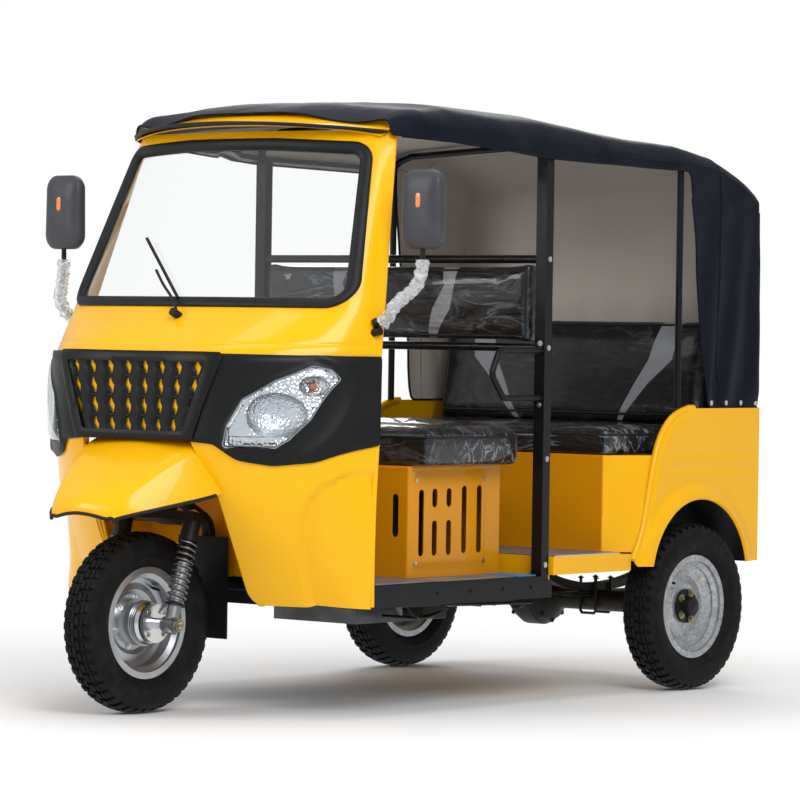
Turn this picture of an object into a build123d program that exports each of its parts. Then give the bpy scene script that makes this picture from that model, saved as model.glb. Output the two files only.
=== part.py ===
from build123d import *
import os
from math import cos, radians, sin, sqrt

os.makedirs("parts", exist_ok=True)

# Auto rickshaw, millimetres.  X runs across (+X is the vehicle's left), Y runs back
# along it (the nose points to -Y), Z is up from the floor that the tyres stand on.
# The origin is the middle of the vehicle's footprint.

# ---------------------------------------------------------------- driving sizes
wheelbase = 1955
rear_overhang = 374          # rear axle to the back of the tail lamps
rear_track = 1195
tyre_radius = 271
tyre_width = 126
cab_half_width = 620
mirror_reach = 735           # centre line to the middle of a mirror

seat_gap = 0.3               # play between two pieces that rest on each other
running_gap = 0.1            # radial play of a hub on its spindle
wall = 24                    # whole thickness of the cab's double skin
sheet = 6                    # pressed panel with its folded edge
tube = 11                    # radius of the hood's bows
rail_tube = 9                # radius of the rails that join them

# heights
sill_z = 328
driver_floor_z = 395
passenger_floor_z = 455
crease_z = 660               # where the leg panel leans back to meet the sill
well_z = 700
mask_low_z = 815
mask_high_z = 1078
glass_low_z = 1222
glass_high_z = 1708
cab_top_z = 1752
seat_base_z = 765
seat_top_z = 860
waist_z = 915                # top of the rear body, where the hood starts
body_low_z = 410             # lower edge of the rear body
valance_front_z = 1742       # lower edge of the hood over the doorways
valance_pillar_z = 1694
valance_rear_z = 1684
rail_rise = 16               # hood rail above that edge
pillar_inset, pillar_width = 35, 40    # pillar's middle inside the cab's half width

pillar_x = cab_half_width - pillar_inset

# stations along the vehicle
tyre_to_bulkhead = 74        # front tyre's back to the bulkhead behind it
nose_length = 355            # the cab's foremost point to the bulkhead
seat_box_back = 715          # front axle to the driver's seat box
pillar_back = 1205           # front axle to the pillars behind the driver
seat_base_ahead = 375        # rear axle to the passengers' seat front

front_axle_y = tyre_radius - (tyre_radius + wheelbase + rear_overhang) / 2
rear_axle_y = front_axle_y + wheelbase
tail_y = rear_axle_y + rear_overhang
bulkhead_y = front_axle_y + tyre_radius + tyre_to_bulkhead
nose_y = bulkhead_y - nose_length
seat_box_y = front_axle_y + seat_box_back
pillar_y = front_axle_y + pillar_back
seat_base_y = rear_axle_y - seat_base_ahead


# ---------------------------------------------------------------- small helpers
def slab(x0, x1, y0, y1, z0, z1):
    """A box between two corners."""
    middle = ((x0 + x1) / 2, (y0 + y1) / 2, (z0 + z1) / 2)
    return Pos(*middle) * Box(abs(x1 - x0), abs(y1 - y0), abs(z1 - z0))


def rod(start, end, radius):
    """A round bar between two points."""
    line = Vector(*end) - Vector(*start)
    foot = Plane(origin=start, z_dir=line)
    return foot * Cylinder(radius, line.length, align=(Align.CENTER, Align.CENTER, Align.MIN))


def bent_bar(points, bend, radius):
    """A round bar along straight runs joined by bends of one radius."""
    path = FilletPolyline(*points, radius=bend)
    return sweep(Plane(path @ 0, z_dir=path % 0) * Circle(radius), path)


def side_plate(outline, x0, x1):
    """A plate that lies fore and aft: an outline of (y, z) points, from x0 to x1."""
    face = make_face(Polyline(*[(y, z) for y, z in outline], close=True))
    return Pos(min(x0, x1), 0, 0) * extrude(Plane.YZ * face, abs(x1 - x0))


def cross_plate(outline, y0, y1):
    """A plate that lies across: an outline of (x, z) points, from y0 to y1."""
    face = make_face(Polyline(*[(x, z) for x, z in outline], close=True))
    return Pos(0, max(y0, y1), 0) * extrude(Plane.XZ * face, abs(y1 - y0))


def both_sides(shape):
    """A shape and its mirror image on the other side of the vehicle."""
    return [shape, mirror(shape, about=Plane.YZ)]


def write(name, *shapes):
    """One STEP file per sub-part."""
    solids = [solid for shape in shapes for solid in shape.solids()]
    export_step(Compound(children=solids), f"parts/{name}.step")


# ---------------------------------------------------------------- wheels
rim_half = 43
bead_radius = 152.4
flange_radius = 167.5
rim_wall = 4
shoulder_inset, crown_drop = 11, 9    # tread edge in from the widest point and below the crown
well_radius = 138
spindle_radius = 15
front_axle_radius = 10
front_hub_half = 62
drum_radius = 88
drum_depth = 52
nut_flange_radius = 55
spigot_radius = 44
cap_reach = 44


def turned(outline, axle_x, axle_y):
    """A piece turned about a wheel's axle: an outline of (along axle, radius) points."""
    face = make_face(Polyline(*outline, close=True))
    return Pos(axle_x, axle_y, tyre_radius) * revolve(face, Axis.X)


def tyre(axle_x, axle_y):
    """A solid ring with bulged walls and a crowned tread."""
    seat = rim_half - rim_wall - 2 * seat_gap
    half = tyre_width / 2
    bead = bead_radius + seat_gap
    shoulder = (half - shoulder_inset, tyre_radius - crown_drop)
    flank = (half, (flange_radius + tyre_radius) / 2)
    clear = (seat, flange_radius + 3)
    right = Line((seat, bead), clear) + TangentArc(flank, clear, tangent=(0, -1)) + Line(flank, shoulder)
    left = mirror(right, about=Plane.YZ)
    crown = ThreePointArc(shoulder, (0, tyre_radius), (-shoulder[0], shoulder[1]))
    face = make_face(right + crown + left + Line((-seat, bead), (seat, bead)))
    return Pos(axle_x, axle_y, tyre_radius) * revolve(face, Axis.X)


def rim(axle_x, axle_y, out, disc):
    """A well-base rim and its pressed disc, whose line is (along axle, radius) points."""
    half, seat, ledge = rim_half, bead_radius, 30
    outer = [(-half + rim_wall, flange_radius), (-half + rim_wall, seat), (-ledge, seat),
             (-ledge + 10, well_radius), (ledge - 10, well_radius), (ledge, seat),
             (half - rim_wall, seat), (half - rim_wall, flange_radius)]
    inner = [(half, flange_radius), (half, seat - rim_wall), (ledge + 2, seat - rim_wall),
             (ledge - 8, well_radius - rim_wall), (8 - ledge, well_radius - rim_wall),
             (-ledge - 2, seat - rim_wall), (-half, seat - rim_wall), (-half, flange_radius)]
    near = [(out * (a + rim_wall / 2), r) for a, r in disc]
    far = [(out * (a - rim_wall / 2), r) for a, r in reversed(disc)]
    return turned(outer + inner, axle_x, axle_y) + turned(near + far, axle_x, axle_y)


def rear_wheel(side, word):
    """Tyre, rim and hub of one rear wheel; side is 1 on the left."""
    axle_x = side * rear_track / 2
    disc = [(14, well_radius - 1), (6, 118), (-4, 100), (0, 82), (4, 70), (4, spigot_radius + seat_gap)]
    write(f"rear_tyre_{word}", tyre(axle_x, rear_axle_y))
    write(f"rear_rim_{word}", rim(axle_x, rear_axle_y, side, disc))
    bore = spindle_radius + running_gap
    seat = 4 - rim_wall / 2 - seat_gap
    hub = [(-drum_depth, bore), (-drum_depth, drum_radius - 8), (-drum_depth + 6, drum_radius),
           (-12, drum_radius), (-12, nut_flange_radius + 4), (seat, nut_flange_radius + 4),
           (seat, spigot_radius), (seat + rim_wall + 2 * seat_gap, spigot_radius),
           (seat + rim_wall + 2 * seat_gap, nut_flange_radius), (16, nut_flange_radius),
           (18, 33), (cap_reach - 4, 30), (cap_reach, 24), (cap_reach, 0), (34, 0), (34, bore)]
    write(f"rear_hub_{word}", turned([(side * a, r) for a, r in hub], axle_x, rear_axle_y))


rear_wheel(1, "left")
rear_wheel(-1, "right")

front_disc = [(-14, well_radius - 1), (-20, 118), (-16, 98), (-24, 84), (-24, 60 + seat_gap)]
write("front_tyre", tyre(0, front_axle_y))
write("front_rim", rim(0, front_axle_y, 1, front_disc))
front_bore = front_axle_radius + running_gap
front_hub = [(-front_hub_half, front_bore), (-front_hub_half, 46), (-26 - seat_gap, 58),
             (-26 - seat_gap, 60), (-22 + seat_gap, 60), (-22 + seat_gap, 70),
             (front_hub_half - 10, 66), (front_hub_half, 60), (front_hub_half, front_bore)]
write("front_hub", turned(front_hub, 0, front_axle_y))

# ---------------------------------------------------------------- front fork
# Built upright in the fork's own frame: the wheel centre is its origin, its Z runs up
# the legs and its Y runs back.  The steering axis is parallel to the legs.
rake = 16
fork_offset = 30             # steering axis behind the legs
leg_x = 138
leg_radius = 17
slider_radius = 21
slider_reach = 190
spring_low, spring_high = 62, 262
spring_radius = 31
yoke_s, yoke_thick = 316, 26
stem_radius = 16
head_gap = 5
head_length = 175
bar_s = 790                  # handlebar above the wheel centre, along the axis
bar_half = 290
bar_sweep = 75
bar_radius = 11
grip_radius = 17
grip_length = 120
lock_angle = 35

fork_frame = Plane(origin=(0, front_axle_y, tyre_radius), x_dir=(1, 0, 0),
                   z_dir=(0, sin(radians(rake)), cos(radians(rake))))


def on_fork(shape):
    """A shape built in the fork's own frame, set in the vehicle."""
    return fork_frame * shape


def fork_leg(side):
    """Lower leg with its axle lug."""
    leg = rod((side * leg_x, 0, -26), (side * leg_x, 0, slider_reach), slider_radius)
    lug = rod((side * (leg_x - 24), 0, 0), (side * (leg_x + 24), 0, 0), 24)
    bore = rod((side * (leg_x - 30), 0, 0), (side * (leg_x + 30), 0, 0), front_axle_radius + running_gap)
    tube_bore = rod((side * leg_x, 0, 60), (side * leg_x, 0, slider_reach + 1), leg_radius + seat_gap)
    return leg + lug - bore - tube_bore


def fork_spring(side):
    """The space that the coil fills around the leg."""
    outer = rod((side * leg_x, 0, spring_low), (side * leg_x, 0, spring_high), spring_radius)
    return outer - rod((side * leg_x, 0, spring_low - 1), (side * leg_x, 0, spring_high + 1),
                       slider_radius + seat_gap)


yoke_top = yoke_s + yoke_thick
head_low = yoke_top + head_gap
head_high = head_low + head_length
clamp_low = head_high + head_gap
yoke = slab(-leg_x - 26, leg_x + 26, -26, 30, yoke_s, yoke_top)
yoke += slab(-42, 42, 0, fork_offset + 30, yoke_s, yoke_top)
for side in (1, -1):
    yoke += rod((side * leg_x, 0, 70), (side * leg_x, 0, yoke_s + 1), leg_radius)
    collar = rod((side * leg_x, 0, spring_high + seat_gap), (side * leg_x, 0, yoke_s + 1), spring_radius - 4)
    yoke += collar
yoke += rod((0, fork_offset, yoke_s), (0, fork_offset, bar_s), stem_radius)
yoke += rod((0, fork_offset, clamp_low), (0, fork_offset, clamp_low + 30), 30)
write("fork_yoke", on_fork(yoke))
write("fork_legs", *[on_fork(fork_leg(side)) for side in (1, -1)])
write("fork_springs", *[on_fork(fork_spring(side)) for side in (1, -1)])

plate_near = front_hub_half + 5
nut_reach = leg_x + 40
axle = rod((-nut_reach, 0, 0), (nut_reach, 0, 0), front_axle_radius)
axle += rod((plate_near, 0, 0), (plate_near + 12, 0, 0), 58)
axle += rod((plate_near, 0, 0), (leg_x - 24 - seat_gap, 0, 0), 17)
axle += rod((-leg_x + 24 + seat_gap, 0, 0), (-plate_near, 0, 0), 17)
for side in (1, -1):
    start = side * (leg_x + 24 + seat_gap)
    axle += Pos(start + side * 6, 0, 0) * Rot(0, 90, 0) * extrude(RegularPolygon(16, 6), 6, both=True)
write("front_axle", on_fork(axle))

bar_line = bar_s + 14          # height of the bar's own middle line
clamp_half, bar_elbow = 34, 130       # the clamp block, and the straight end of the bar with its grip
bar_points = [(-bar_half, fork_offset + bar_sweep, bar_line),
              (-bar_half + bar_elbow, fork_offset + 20, bar_line),
              (-60, fork_offset, bar_line), (60, fork_offset, bar_line),
              (bar_half - bar_elbow, fork_offset + 20, bar_line),
              (bar_half, fork_offset + bar_sweep, bar_line)]
handlebar = bent_bar(bar_points, 60, bar_radius)
handlebar += slab(-clamp_half, clamp_half, fork_offset - 20, fork_offset + 20, bar_s + seat_gap, bar_line)
grip_line = (Vector(*bar_points[5]) - Vector(*bar_points[4])).normalized()
for side in (1, -1):
    end = Vector(side * bar_half, fork_offset + bar_sweep, bar_line)
    start = end - Vector(side * grip_line.X, grip_line.Y, 0) * grip_length
    handlebar += rod(tuple(start), tuple(end), grip_radius)
write("handlebar", on_fork(handlebar))


def steering_point(s):
    """A point on the steering axis, s above the wheel centre along it."""
    return fork_frame.from_local_coords(Vector(0, fork_offset, s))


# ---------------------------------------------------------------- cab shell
# Level outlines of the cab's skin, one row each.  Columns: height, then how far behind
# the nose the skin is at the centre line and at five more stations across, and the share
# of the cab's half width at which each of those five stations lies.
cab_levels = [
    # z,            (y0,  y1,  y2,  y3,  y4,  y5),            (x1,    x2,    x3,    x4,    x5)
    (sill_z,        (205, 224, 255, 295, 326, 353), (0.476, 0.645, 0.806, 0.927, 1.000)),
    (crease_z,      ( 58,  70, 115, 188, 268, 367), (0.476, 0.645, 0.806, 0.927, 1.000)),
    (mask_low_z,    (  0,  10,  70, 165, 260, 378), (0.476, 0.645, 0.806, 0.927, 1.000)),
    (mask_high_z,   (  0,  10,  70, 165, 260, 382), (0.476, 0.645, 0.806, 0.927, 1.000)),
    (glass_low_z,   (185, 218, 250, 295, 340, 415), (0.484, 0.700, 0.870, 0.943, 0.976)),
    (glass_high_z,  (390, 418, 446, 481, 510, 545), (0.403, 0.597, 0.726, 0.798, 0.846)),
    (cab_top_z,     (406, 434, 462, 497, 526, 561), (0.387, 0.581, 0.710, 0.782, 0.830)),
]


def level_at(z):
    """The cab's outline at any height: between two rows, or straight on past the end rows."""
    rows = [row for row in cab_levels if row[0] < z][-1:] + [row for row in cab_levels if row[0] >= z][:1]
    share = (z - rows[0][0]) / (rows[1][0] - rows[0][0]) if len(rows) == 2 else 0
    low, high = rows[0], rows[-1]
    backs = [a + share * (b - a) for a, b in zip(low[1], high[1])]
    shares = [a + share * (b - a) for a, b in zip(low[2], high[2])]
    return backs, shares


def outline_at(z, depth):
    """The six stations of the outline at a height on one side, moved inwards by a depth."""
    backs, shares = level_at(z)
    spots = [(cab_half_width * share, nose_y + back) for share, back in zip([0] + shares, backs)]
    moved = []
    for index, (x, y) in enumerate(spots):
        before = spots[index - 1] if index else (-spots[1][0], spots[1][1])
        after = spots[index + 1] if index + 1 < len(spots) else (x, y)
        across, back = after[0] - before[0], after[1] - before[1]
        size = sqrt(across ** 2 + back ** 2)
        moved.append((x - depth * back / size, y + depth * across / size))
    return moved


def cab_form(depth, low, high, back=0):
    """The cab's outer form moved inwards by a depth, from low to high, its flat back moved back."""
    wires = []
    for z in [low] + [row[0] for row in cab_levels if low < row[0] < high] + [high]:
        right = [(x, y, z) for x, y in outline_at(z, depth)]
        left = [(-x, y, z) for x, y, z in right]
        arcs = [ThreePointArc(left[5], left[4], left[3]), ThreePointArc(left[3], left[2], left[1]),
                ThreePointArc(left[1], right[0], right[1]), ThreePointArc(right[1], right[2], right[3]),
                ThreePointArc(right[3], right[4], right[5])]
        corners = [right[5], left[5]]
        if back:
            behind = [(x, y + back, z) for x, y, z in (right[5], left[5])]
            corners = [right[5], *behind, left[5]]
        wires.append(Wire(arcs + [Line(a, b) for a, b in zip(corners, corners[1:])]))
    return Solid.make_loft(wires, True)


def cab_layer(outer_depth, inner_depth):
    """A layer of the cab's skin between two depths, open at the back."""
    outer = cab_form(outer_depth, sill_z, cab_top_z)
    return outer - cab_form(inner_depth, sill_z - wall, cab_top_z + wall, back=2 * wall)


def screen_opening(margin):
    """The windscreen's rounded outline, shrunk by a margin, cut straight back."""
    low, high = glass_low_z + margin, glass_high_z - margin
    low_x, high_x = screen_low_x - margin, screen_high_x - margin
    outline = make_face(Polyline((-low_x, low), (low_x, low), (high_x, high), (-high_x, high), close=True))
    outline = fillet(outline.vertices(), screen_corner - margin)
    return Pos(0, nose_y + cut_behind, 0) * extrude(Plane.XZ * outline, cut_ahead + cut_behind)


def front_cut(outline):
    """An outline of (x, z) points cut straight back through the cab's front."""
    return cross_plate(outline, nose_y - cut_ahead, nose_y + cut_behind)


def mirrored(points):
    """An outline of (x, z) points on the other side, in the order that closes it."""
    return [(-x, z) for x, z in reversed(points)]


screen_low_x, screen_high_x, screen_corner = cab_half_width - 48, cab_half_width - 142, 62
cut_ahead, cut_behind = 100, 600      # reach of a cut ahead of the nose and behind it
seal_width = 24
glass_thick = 6
arch_half = 270
arch_top_half = 214
arch_shoulder_z = 655

shell = cab_form(0, sill_z, cab_top_z) - cab_form(wall, sill_z - wall, cab_top_z - wall, back=2 * wall)
shell -= screen_opening(0)
arch = [(arch_half, sill_z - 50), (arch_half, arch_shoulder_z), (arch_top_half, mask_low_z)]
shell -= front_cut(arch + mirrored(arch))
write("cab_shell", shell)

seal = cab_layer(-4, wall - 4) & (screen_opening(seat_gap) - screen_opening(seal_width))
write("windscreen_seal", seal)
glass = cab_layer(7, 7 + glass_thick) & screen_opening(seal_width + seat_gap)
write("windscreen_glass", glass)

# ---------------------------------------------------------------- mask, grille, lamps
mask_thick = 15
grille_top_half, grille_low_half = 296, 212
grille_top_z, grille_low_z = mask_high_z - 12, mask_low_z + 16
lamp_outline = [(322, 804), (336, 868), (374, 946), (446, 1002), (524, 1048), (572, 1012), (520, 886),
                (478, 827), (448, 803)]
mask_outline = [(cab_half_width, mask_high_z), (cab_half_width, mask_low_z), (530, 762), (437, 752),
                (350, 766), (300, 812), (212, mask_low_z + 6)]
mask_cut = front_cut(mask_outline + mirrored(mask_outline))
lamp_cuts = [front_cut(lamp_outline), front_cut(mirrored(lamp_outline))]
grille_outline = [(grille_top_half, grille_top_z), (grille_low_half, grille_low_z)]
grille_cut = front_cut(grille_outline + mirrored(grille_outline))
mask = cab_layer(-mask_thick, -seat_gap) & mask_cut
for cut in lamp_cuts + [grille_cut]:
    mask -= cut
write("front_mask", mask)


def shrunk(points, margin):
    """An outline moved towards its middle by about a margin."""
    middle_x = sum(x for x, z in points) / len(points)
    middle_z = sum(z for x, z in points) / len(points)
    moved = []
    for x, z in points:
        away = sqrt((x - middle_x) ** 2 + (z - middle_z) ** 2)
        moved.append((x + (middle_x - x) * margin / away, z + (middle_z - z) * margin / away))
    return moved


lamp_layer = cab_layer(-mask_thick - 8, -seat_gap)
small_lamp = shrunk(lamp_outline, 1.2)
write("headlamps", lamp_layer & front_cut(small_lamp), lamp_layer & front_cut(mirrored(small_lamp)))

grille_depth = 12            # ahead of the nose
slat_count, slat_half = 9, 12
grille = cross_plate(shrunk(grille_outline + mirrored(grille_outline), 1), nose_y - grille_depth,
                     nose_y - seat_gap)
grille_frame = 14
inner_frame = [(grille_top_half - grille_frame, grille_top_z - grille_frame),
               (grille_low_half - grille_frame, grille_low_z + grille_frame)]
window = cross_plate(inner_frame + mirrored(inner_frame), nose_y - cut_ahead, nose_y + cut_ahead)
slat_pitch = 2 * (grille_low_half - grille_frame) / slat_count
grille_body = grille - window
for index in range(slat_count + 1):
    slat_x = (index - slat_count / 2) * slat_pitch
    slat = slab(slat_x - slat_half, slat_x + slat_half, nose_y - grille_depth, nose_y - seat_gap,
                grille_low_z + 2, grille_top_z - 2)
    grille_body += slat & grille
write("grille", grille_body)

# ---------------------------------------------------------------- nose fender and visor
# Cross sections of the fender over the front wheel, from the cab forward.  Columns:
# behind the nose, half width at the top, top height, half width at the rim, rim height.
fender_sections = [
    (62, 232, 820, 284, 664),
    (10, 222, 806, 274, 650),
    (-120, 172, 722, 208, 620),
    (-252, 112, 622, 130, 590),
]
fender_wall = 6


def fender_form(depth, extra):
    """The fender's form moved inwards by a depth, with its foot and its back end longer by an extra."""
    wires = []
    for index, (back, top_half, top_z, rim_half_x, rim_z) in enumerate(fender_sections):
        y = nose_y + back
        if index == 0:
            y += extra
        if index == len(fender_sections) - 1:
            y += depth
        low = rim_z - extra
        corners = [(rim_half_x - depth, y, low), (top_half - depth, y, top_z - depth),
                   (-top_half + depth, y, top_z - depth), (-rim_half_x + depth, y, low)]
        wires.append(Wire([Line(a, b) for a, b in zip(corners, corners[1:] + corners[:1])]))
    return Solid.make_loft(wires, True)


nose_fender = fender_form(0, 0) - fender_form(fender_wall, 30)
nose_fender -= cab_form(-seat_gap, sill_z, cab_top_z, back=100)
write("nose_fender", nose_fender)

visor_half = cab_half_width - 75
visor_rise, visor_dip = 26, 2.8       # its arch, and how far its ends dip beside the cab's top corners
visor_low = cab_top_z + seat_gap - visor_dip
visor_thick = 14
visor_front, visor_end, visor_rear = nose_y + 328, nose_y + 480, nose_y + 570
arched = make_face(ThreePointArc((-visor_half, visor_low), (0, visor_low + visor_rise),
                                 (visor_half, visor_low))
                   + Line((visor_half, visor_low), (visor_half, visor_low + visor_thick))
                   + ThreePointArc((visor_half, visor_low + visor_thick),
                                   (0, visor_low + visor_rise + visor_thick),
                                   (-visor_half, visor_low + visor_thick))
                   + Line((-visor_half, visor_low + visor_thick), (-visor_half, visor_low)))
visor_plan = make_face(ThreePointArc((-visor_half, visor_end), (0, visor_front), (visor_half, visor_end))
                       + Polyline((visor_half, visor_end), (visor_half, visor_rear),
                                  (-visor_half, visor_rear), (-visor_half, visor_end)))
visor = Pos(0, visor_rear, 0) * extrude(Plane.XZ * arched, 400)
visor &= Pos(0, 0, visor_low - 10) * extrude(visor_plan, 100)
write("visor", visor)

# ---------------------------------------------------------------- cab inside
tunnel_half = 268
floor_thick = 12
cab_inside = cab_form(wall + seat_gap, sill_z - 40, cab_top_z - wall, back=400)
floor_front_y = bulkhead_y + 3
engine_x0, engine_x1 = -160, 180
engine_y0, engine_y1 = seat_box_y + 85, pillar_y - 90
engine_low, engine_high = 238, 640
engine_room = 30             # air round the engine where it passes the floor
engine_hole = slab(engine_x0 - engine_room, engine_x1 + engine_room, engine_y0 - engine_room,
                   engine_y1 + engine_room, driver_floor_z - wall, driver_floor_z + wall)
step_y = pillar_y + 24
tub = slab(-cab_half_width + 4, cab_half_width - 4, floor_front_y, step_y, driver_floor_z - floor_thick,
           driver_floor_z) - engine_hole
for side in (1, -1):
    tub -= slab(side * (pillar_x - pillar_width / 2 - 4), side * cab_half_width, pillar_y - 22, step_y + 1,
                driver_floor_z - 30, driver_floor_z + 30)
bulkhead = slab(-cab_half_width, cab_half_width, bulkhead_y, bulkhead_y + sheet,
                driver_floor_z - seat_gap, well_z)
bulkhead += slab(-cab_half_width, cab_half_width, front_axle_y, bulkhead_y + sheet, well_z - sheet, well_z)
for side in (1, -1):
    bulkhead += slab(side * tunnel_half, side * (tunnel_half + sheet), front_axle_y, bulkhead_y + sheet,
                     driver_floor_z - 40, well_z)
bulkhead &= cab_inside
head_low_point, head_high_point = steering_point(head_low), steering_point(head_high)
head_radius = 30
bulkhead -= rod(tuple(head_low_point), tuple(head_high_point), head_radius + 4)
write("cab_floor", tub + bulkhead)

dash_half, dash_thick, dash_low, dash_high = 372, 24, 815, 985
pod_half, pod_high = 92, 1062         # the instrument pod on top
dash_y = nose_y + 102
dash = slab(-dash_half, dash_half, dash_y, dash_y + dash_thick, dash_low, dash_high)
dash += slab(-dash_half, dash_half, front_axle_y, dash_y + dash_thick, dash_high - 12, dash_high)
pod = slab(-pod_half, pod_half, dash_y - 50, dash_y + 10, dash_high - 1, pod_high)
dash = (dash + pod) & cab_form(wall + seat_gap, sill_z, cab_top_z - wall, back=400)
write("dashboard", dash)

# ---------------------------------------------------------------- chassis
rail_x, rail_width, rail_depth = 240, 40, 60
cross_depth = 40
skirt_inset, skirt_width = 22, 30
skirt_x = cab_half_width - skirt_inset
frame_top, frame_top_rear = driver_floor_z - floor_thick, passenger_floor_z - floor_thick
rail_start_y, rail_end_y = bulkhead_y - 52, tail_y - 60
kick_y = step_y + 2
rail_side = [(rail_start_y, frame_top - rail_depth), (rail_start_y, frame_top), (kick_y, frame_top),
             (kick_y + 60, frame_top_rear), (rail_end_y, frame_top_rear),
             (rail_end_y, frame_top_rear - rail_depth), (kick_y + 60, frame_top_rear - rail_depth),
             (kick_y, frame_top - rail_depth)]
frame = side_plate(rail_side, rail_x - rail_width / 2, rail_x + rail_width / 2)
frame += side_plate(rail_side, -rail_x - rail_width / 2, -rail_x + rail_width / 2)
front_crosses = [bulkhead_y - 32, seat_box_y + 5, pillar_y - 12]
rear_crosses = [seat_base_y + 30, rail_end_y - 20]
engine_front_y, engine_rear_y = front_crosses[1] + 20, front_crosses[2] - 20
for y in front_crosses:
    frame += slab(-rail_x, rail_x, y - 20, y + 20, frame_top - rail_depth,
                  frame_top - rail_depth + cross_depth)
for y in rear_crosses:
    frame += slab(-rail_x, rail_x, y - 20, y + 20, frame_top_rear - cross_depth, frame_top_rear)
skirt_low = sill_z
for side in (1, -1):
    frame += slab(side * (skirt_x - skirt_width / 2), side * (skirt_x + skirt_width / 2), floor_front_y,
                  kick_y, skirt_low, frame_top)
    for y in front_crosses[1:]:
        frame += slab(side * rail_x, side * skirt_x, y - 15, y + 15, frame_top - cross_depth, frame_top)
neck_radius = 20
neck_y = bulkhead_y - 32
neck_top = steering_point(head_low + 60)
neck = bent_bar([(0, neck_y, frame_top - rail_depth + 5), (0, neck_y, 560), tuple(neck_top)], 60, neck_radius)
head = rod(tuple(head_low_point), tuple(head_high_point), head_radius)
head_bore = rod(tuple(steering_point(head_low - 1)), tuple(steering_point(head_high + 1)),
                stem_radius + running_gap)
frame += neck
frame += head
frame -= head_bore
tow_eye_in, tow_eye_z = 34, 376
tow_eye_radius, tow_lug_thick = 11, 10
lug_line = [(rail_end_y - 40, frame_top_rear - cross_depth + 1), (tail_y - 14, body_low_z - 6),
            (tail_y - 10, tow_eye_z - 10), (tail_y - 24, tow_eye_z - 24), (rail_end_y - 40, tow_eye_z - 4)]
tow_lug = side_plate(lug_line, -tow_lug_thick / 2, tow_lug_thick / 2)
tow_lug -= rod((-20, tail_y - tow_eye_in, tow_eye_z), (20, tail_y - tow_eye_in, tow_eye_z), tow_eye_radius)
frame += tow_lug
write("chassis_frame", frame)

flap_half, flap_thick, flap_low, flap_high = 100, 6, 212, 520
flap_y = neck_y - neck_radius - seat_gap - flap_thick
write("mud_flap", slab(-flap_half, flap_half, flap_y, flap_y + flap_thick, flap_low, flap_high))

engine_foot_half = 25
engine = slab(engine_x0, engine_x1, engine_y0, engine_y1, engine_low, engine_high)
for x in (engine_x0 + 50, engine_x1 - 50):
    engine += slab(x - engine_foot_half, x + engine_foot_half, engine_front_y + seat_gap,
                   engine_rear_y - seat_gap, frame_top - 50, frame_top - 20)
write("engine_block", engine)

axle_tube = 34
# The differential's case, turned about the axle: (along the axle, radius) from its middle out.
diff_case = [(0, 92), (30, 92), (66, 72), (96, axle_tube)]
nose_reach, nose_radius = 122, 36     # pinion nose ahead of the axle
brake_plate_in = rear_track / 2 - drum_depth - 12
rear_axle = rod((-brake_plate_in, rear_axle_y, tyre_radius), (brake_plate_in, rear_axle_y, tyre_radius),
                axle_tube)
half_case = diff_case + [(diff_case[-1][0], 0)]
rear_axle += turned([(-a, r) for a, r in reversed(half_case[1:])] + half_case, 0, rear_axle_y)
rear_axle += rod((0, rear_axle_y, tyre_radius), (0, rear_axle_y - nose_reach, tyre_radius), nose_radius)
for side in (1, -1):
    rear_axle += rod((side * brake_plate_in, rear_axle_y, tyre_radius),
                     (side * (brake_plate_in + 6), rear_axle_y, tyre_radius), drum_radius + 3)
    rear_axle += rod((side * brake_plate_in, rear_axle_y, tyre_radius),
                     (side * (rear_track / 2 + 30), rear_axle_y, tyre_radius), spindle_radius)
write("rear_axle", rear_axle)

spring_half, leaf_thick, leaf_width = 310, 24, 50
leaf_low = tyre_radius + axle_tube + seat_gap
leaf_high = frame_top_rear - rail_depth - seat_gap
leaf_face = make_face(
    ThreePointArc((rear_axle_y - spring_half, leaf_high), (rear_axle_y, leaf_low + leaf_thick),
                  (rear_axle_y + spring_half, leaf_high))
    + Line((rear_axle_y + spring_half, leaf_high), (rear_axle_y + spring_half, leaf_high - leaf_thick))
    + ThreePointArc((rear_axle_y + spring_half, leaf_high - leaf_thick), (rear_axle_y, leaf_low),
                    (rear_axle_y - spring_half, leaf_high - leaf_thick))
    + Line((rear_axle_y - spring_half, leaf_high - leaf_thick), (rear_axle_y - spring_half, leaf_high)))
leaf = Pos(rail_x - leaf_width / 2, 0, 0) * extrude(Plane.YZ * leaf_face, leaf_width)
write("leaf_springs", *both_sides(leaf))

shaft_radius = 16
shaft = rod((0, engine_y1 + seat_gap, tyre_radius), (0, rear_axle_y - nose_reach - seat_gap, tyre_radius),
            shaft_radius)
write("prop_shaft", shaft)

muffler_x, muffler_z, muffler_radius = -330, 284, 48
muffler = rod((muffler_x, pillar_y - 100, muffler_z), (muffler_x, pillar_y + 300, muffler_z), muffler_radius)
muffler += slab(muffler_x - 20, -rail_x - rail_width / 2 - seat_gap, pillar_y + 100, pillar_y + 130,
                muffler_z + 20, frame_top_rear - 20)
muffler += bent_bar([(muffler_x, pillar_y - 99, muffler_z), (muffler_x, pillar_y - 220, muffler_z),
                     (-160 - seat_gap, pillar_y - 220, muffler_z)], 50, 18)
write("muffler", muffler)

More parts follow.
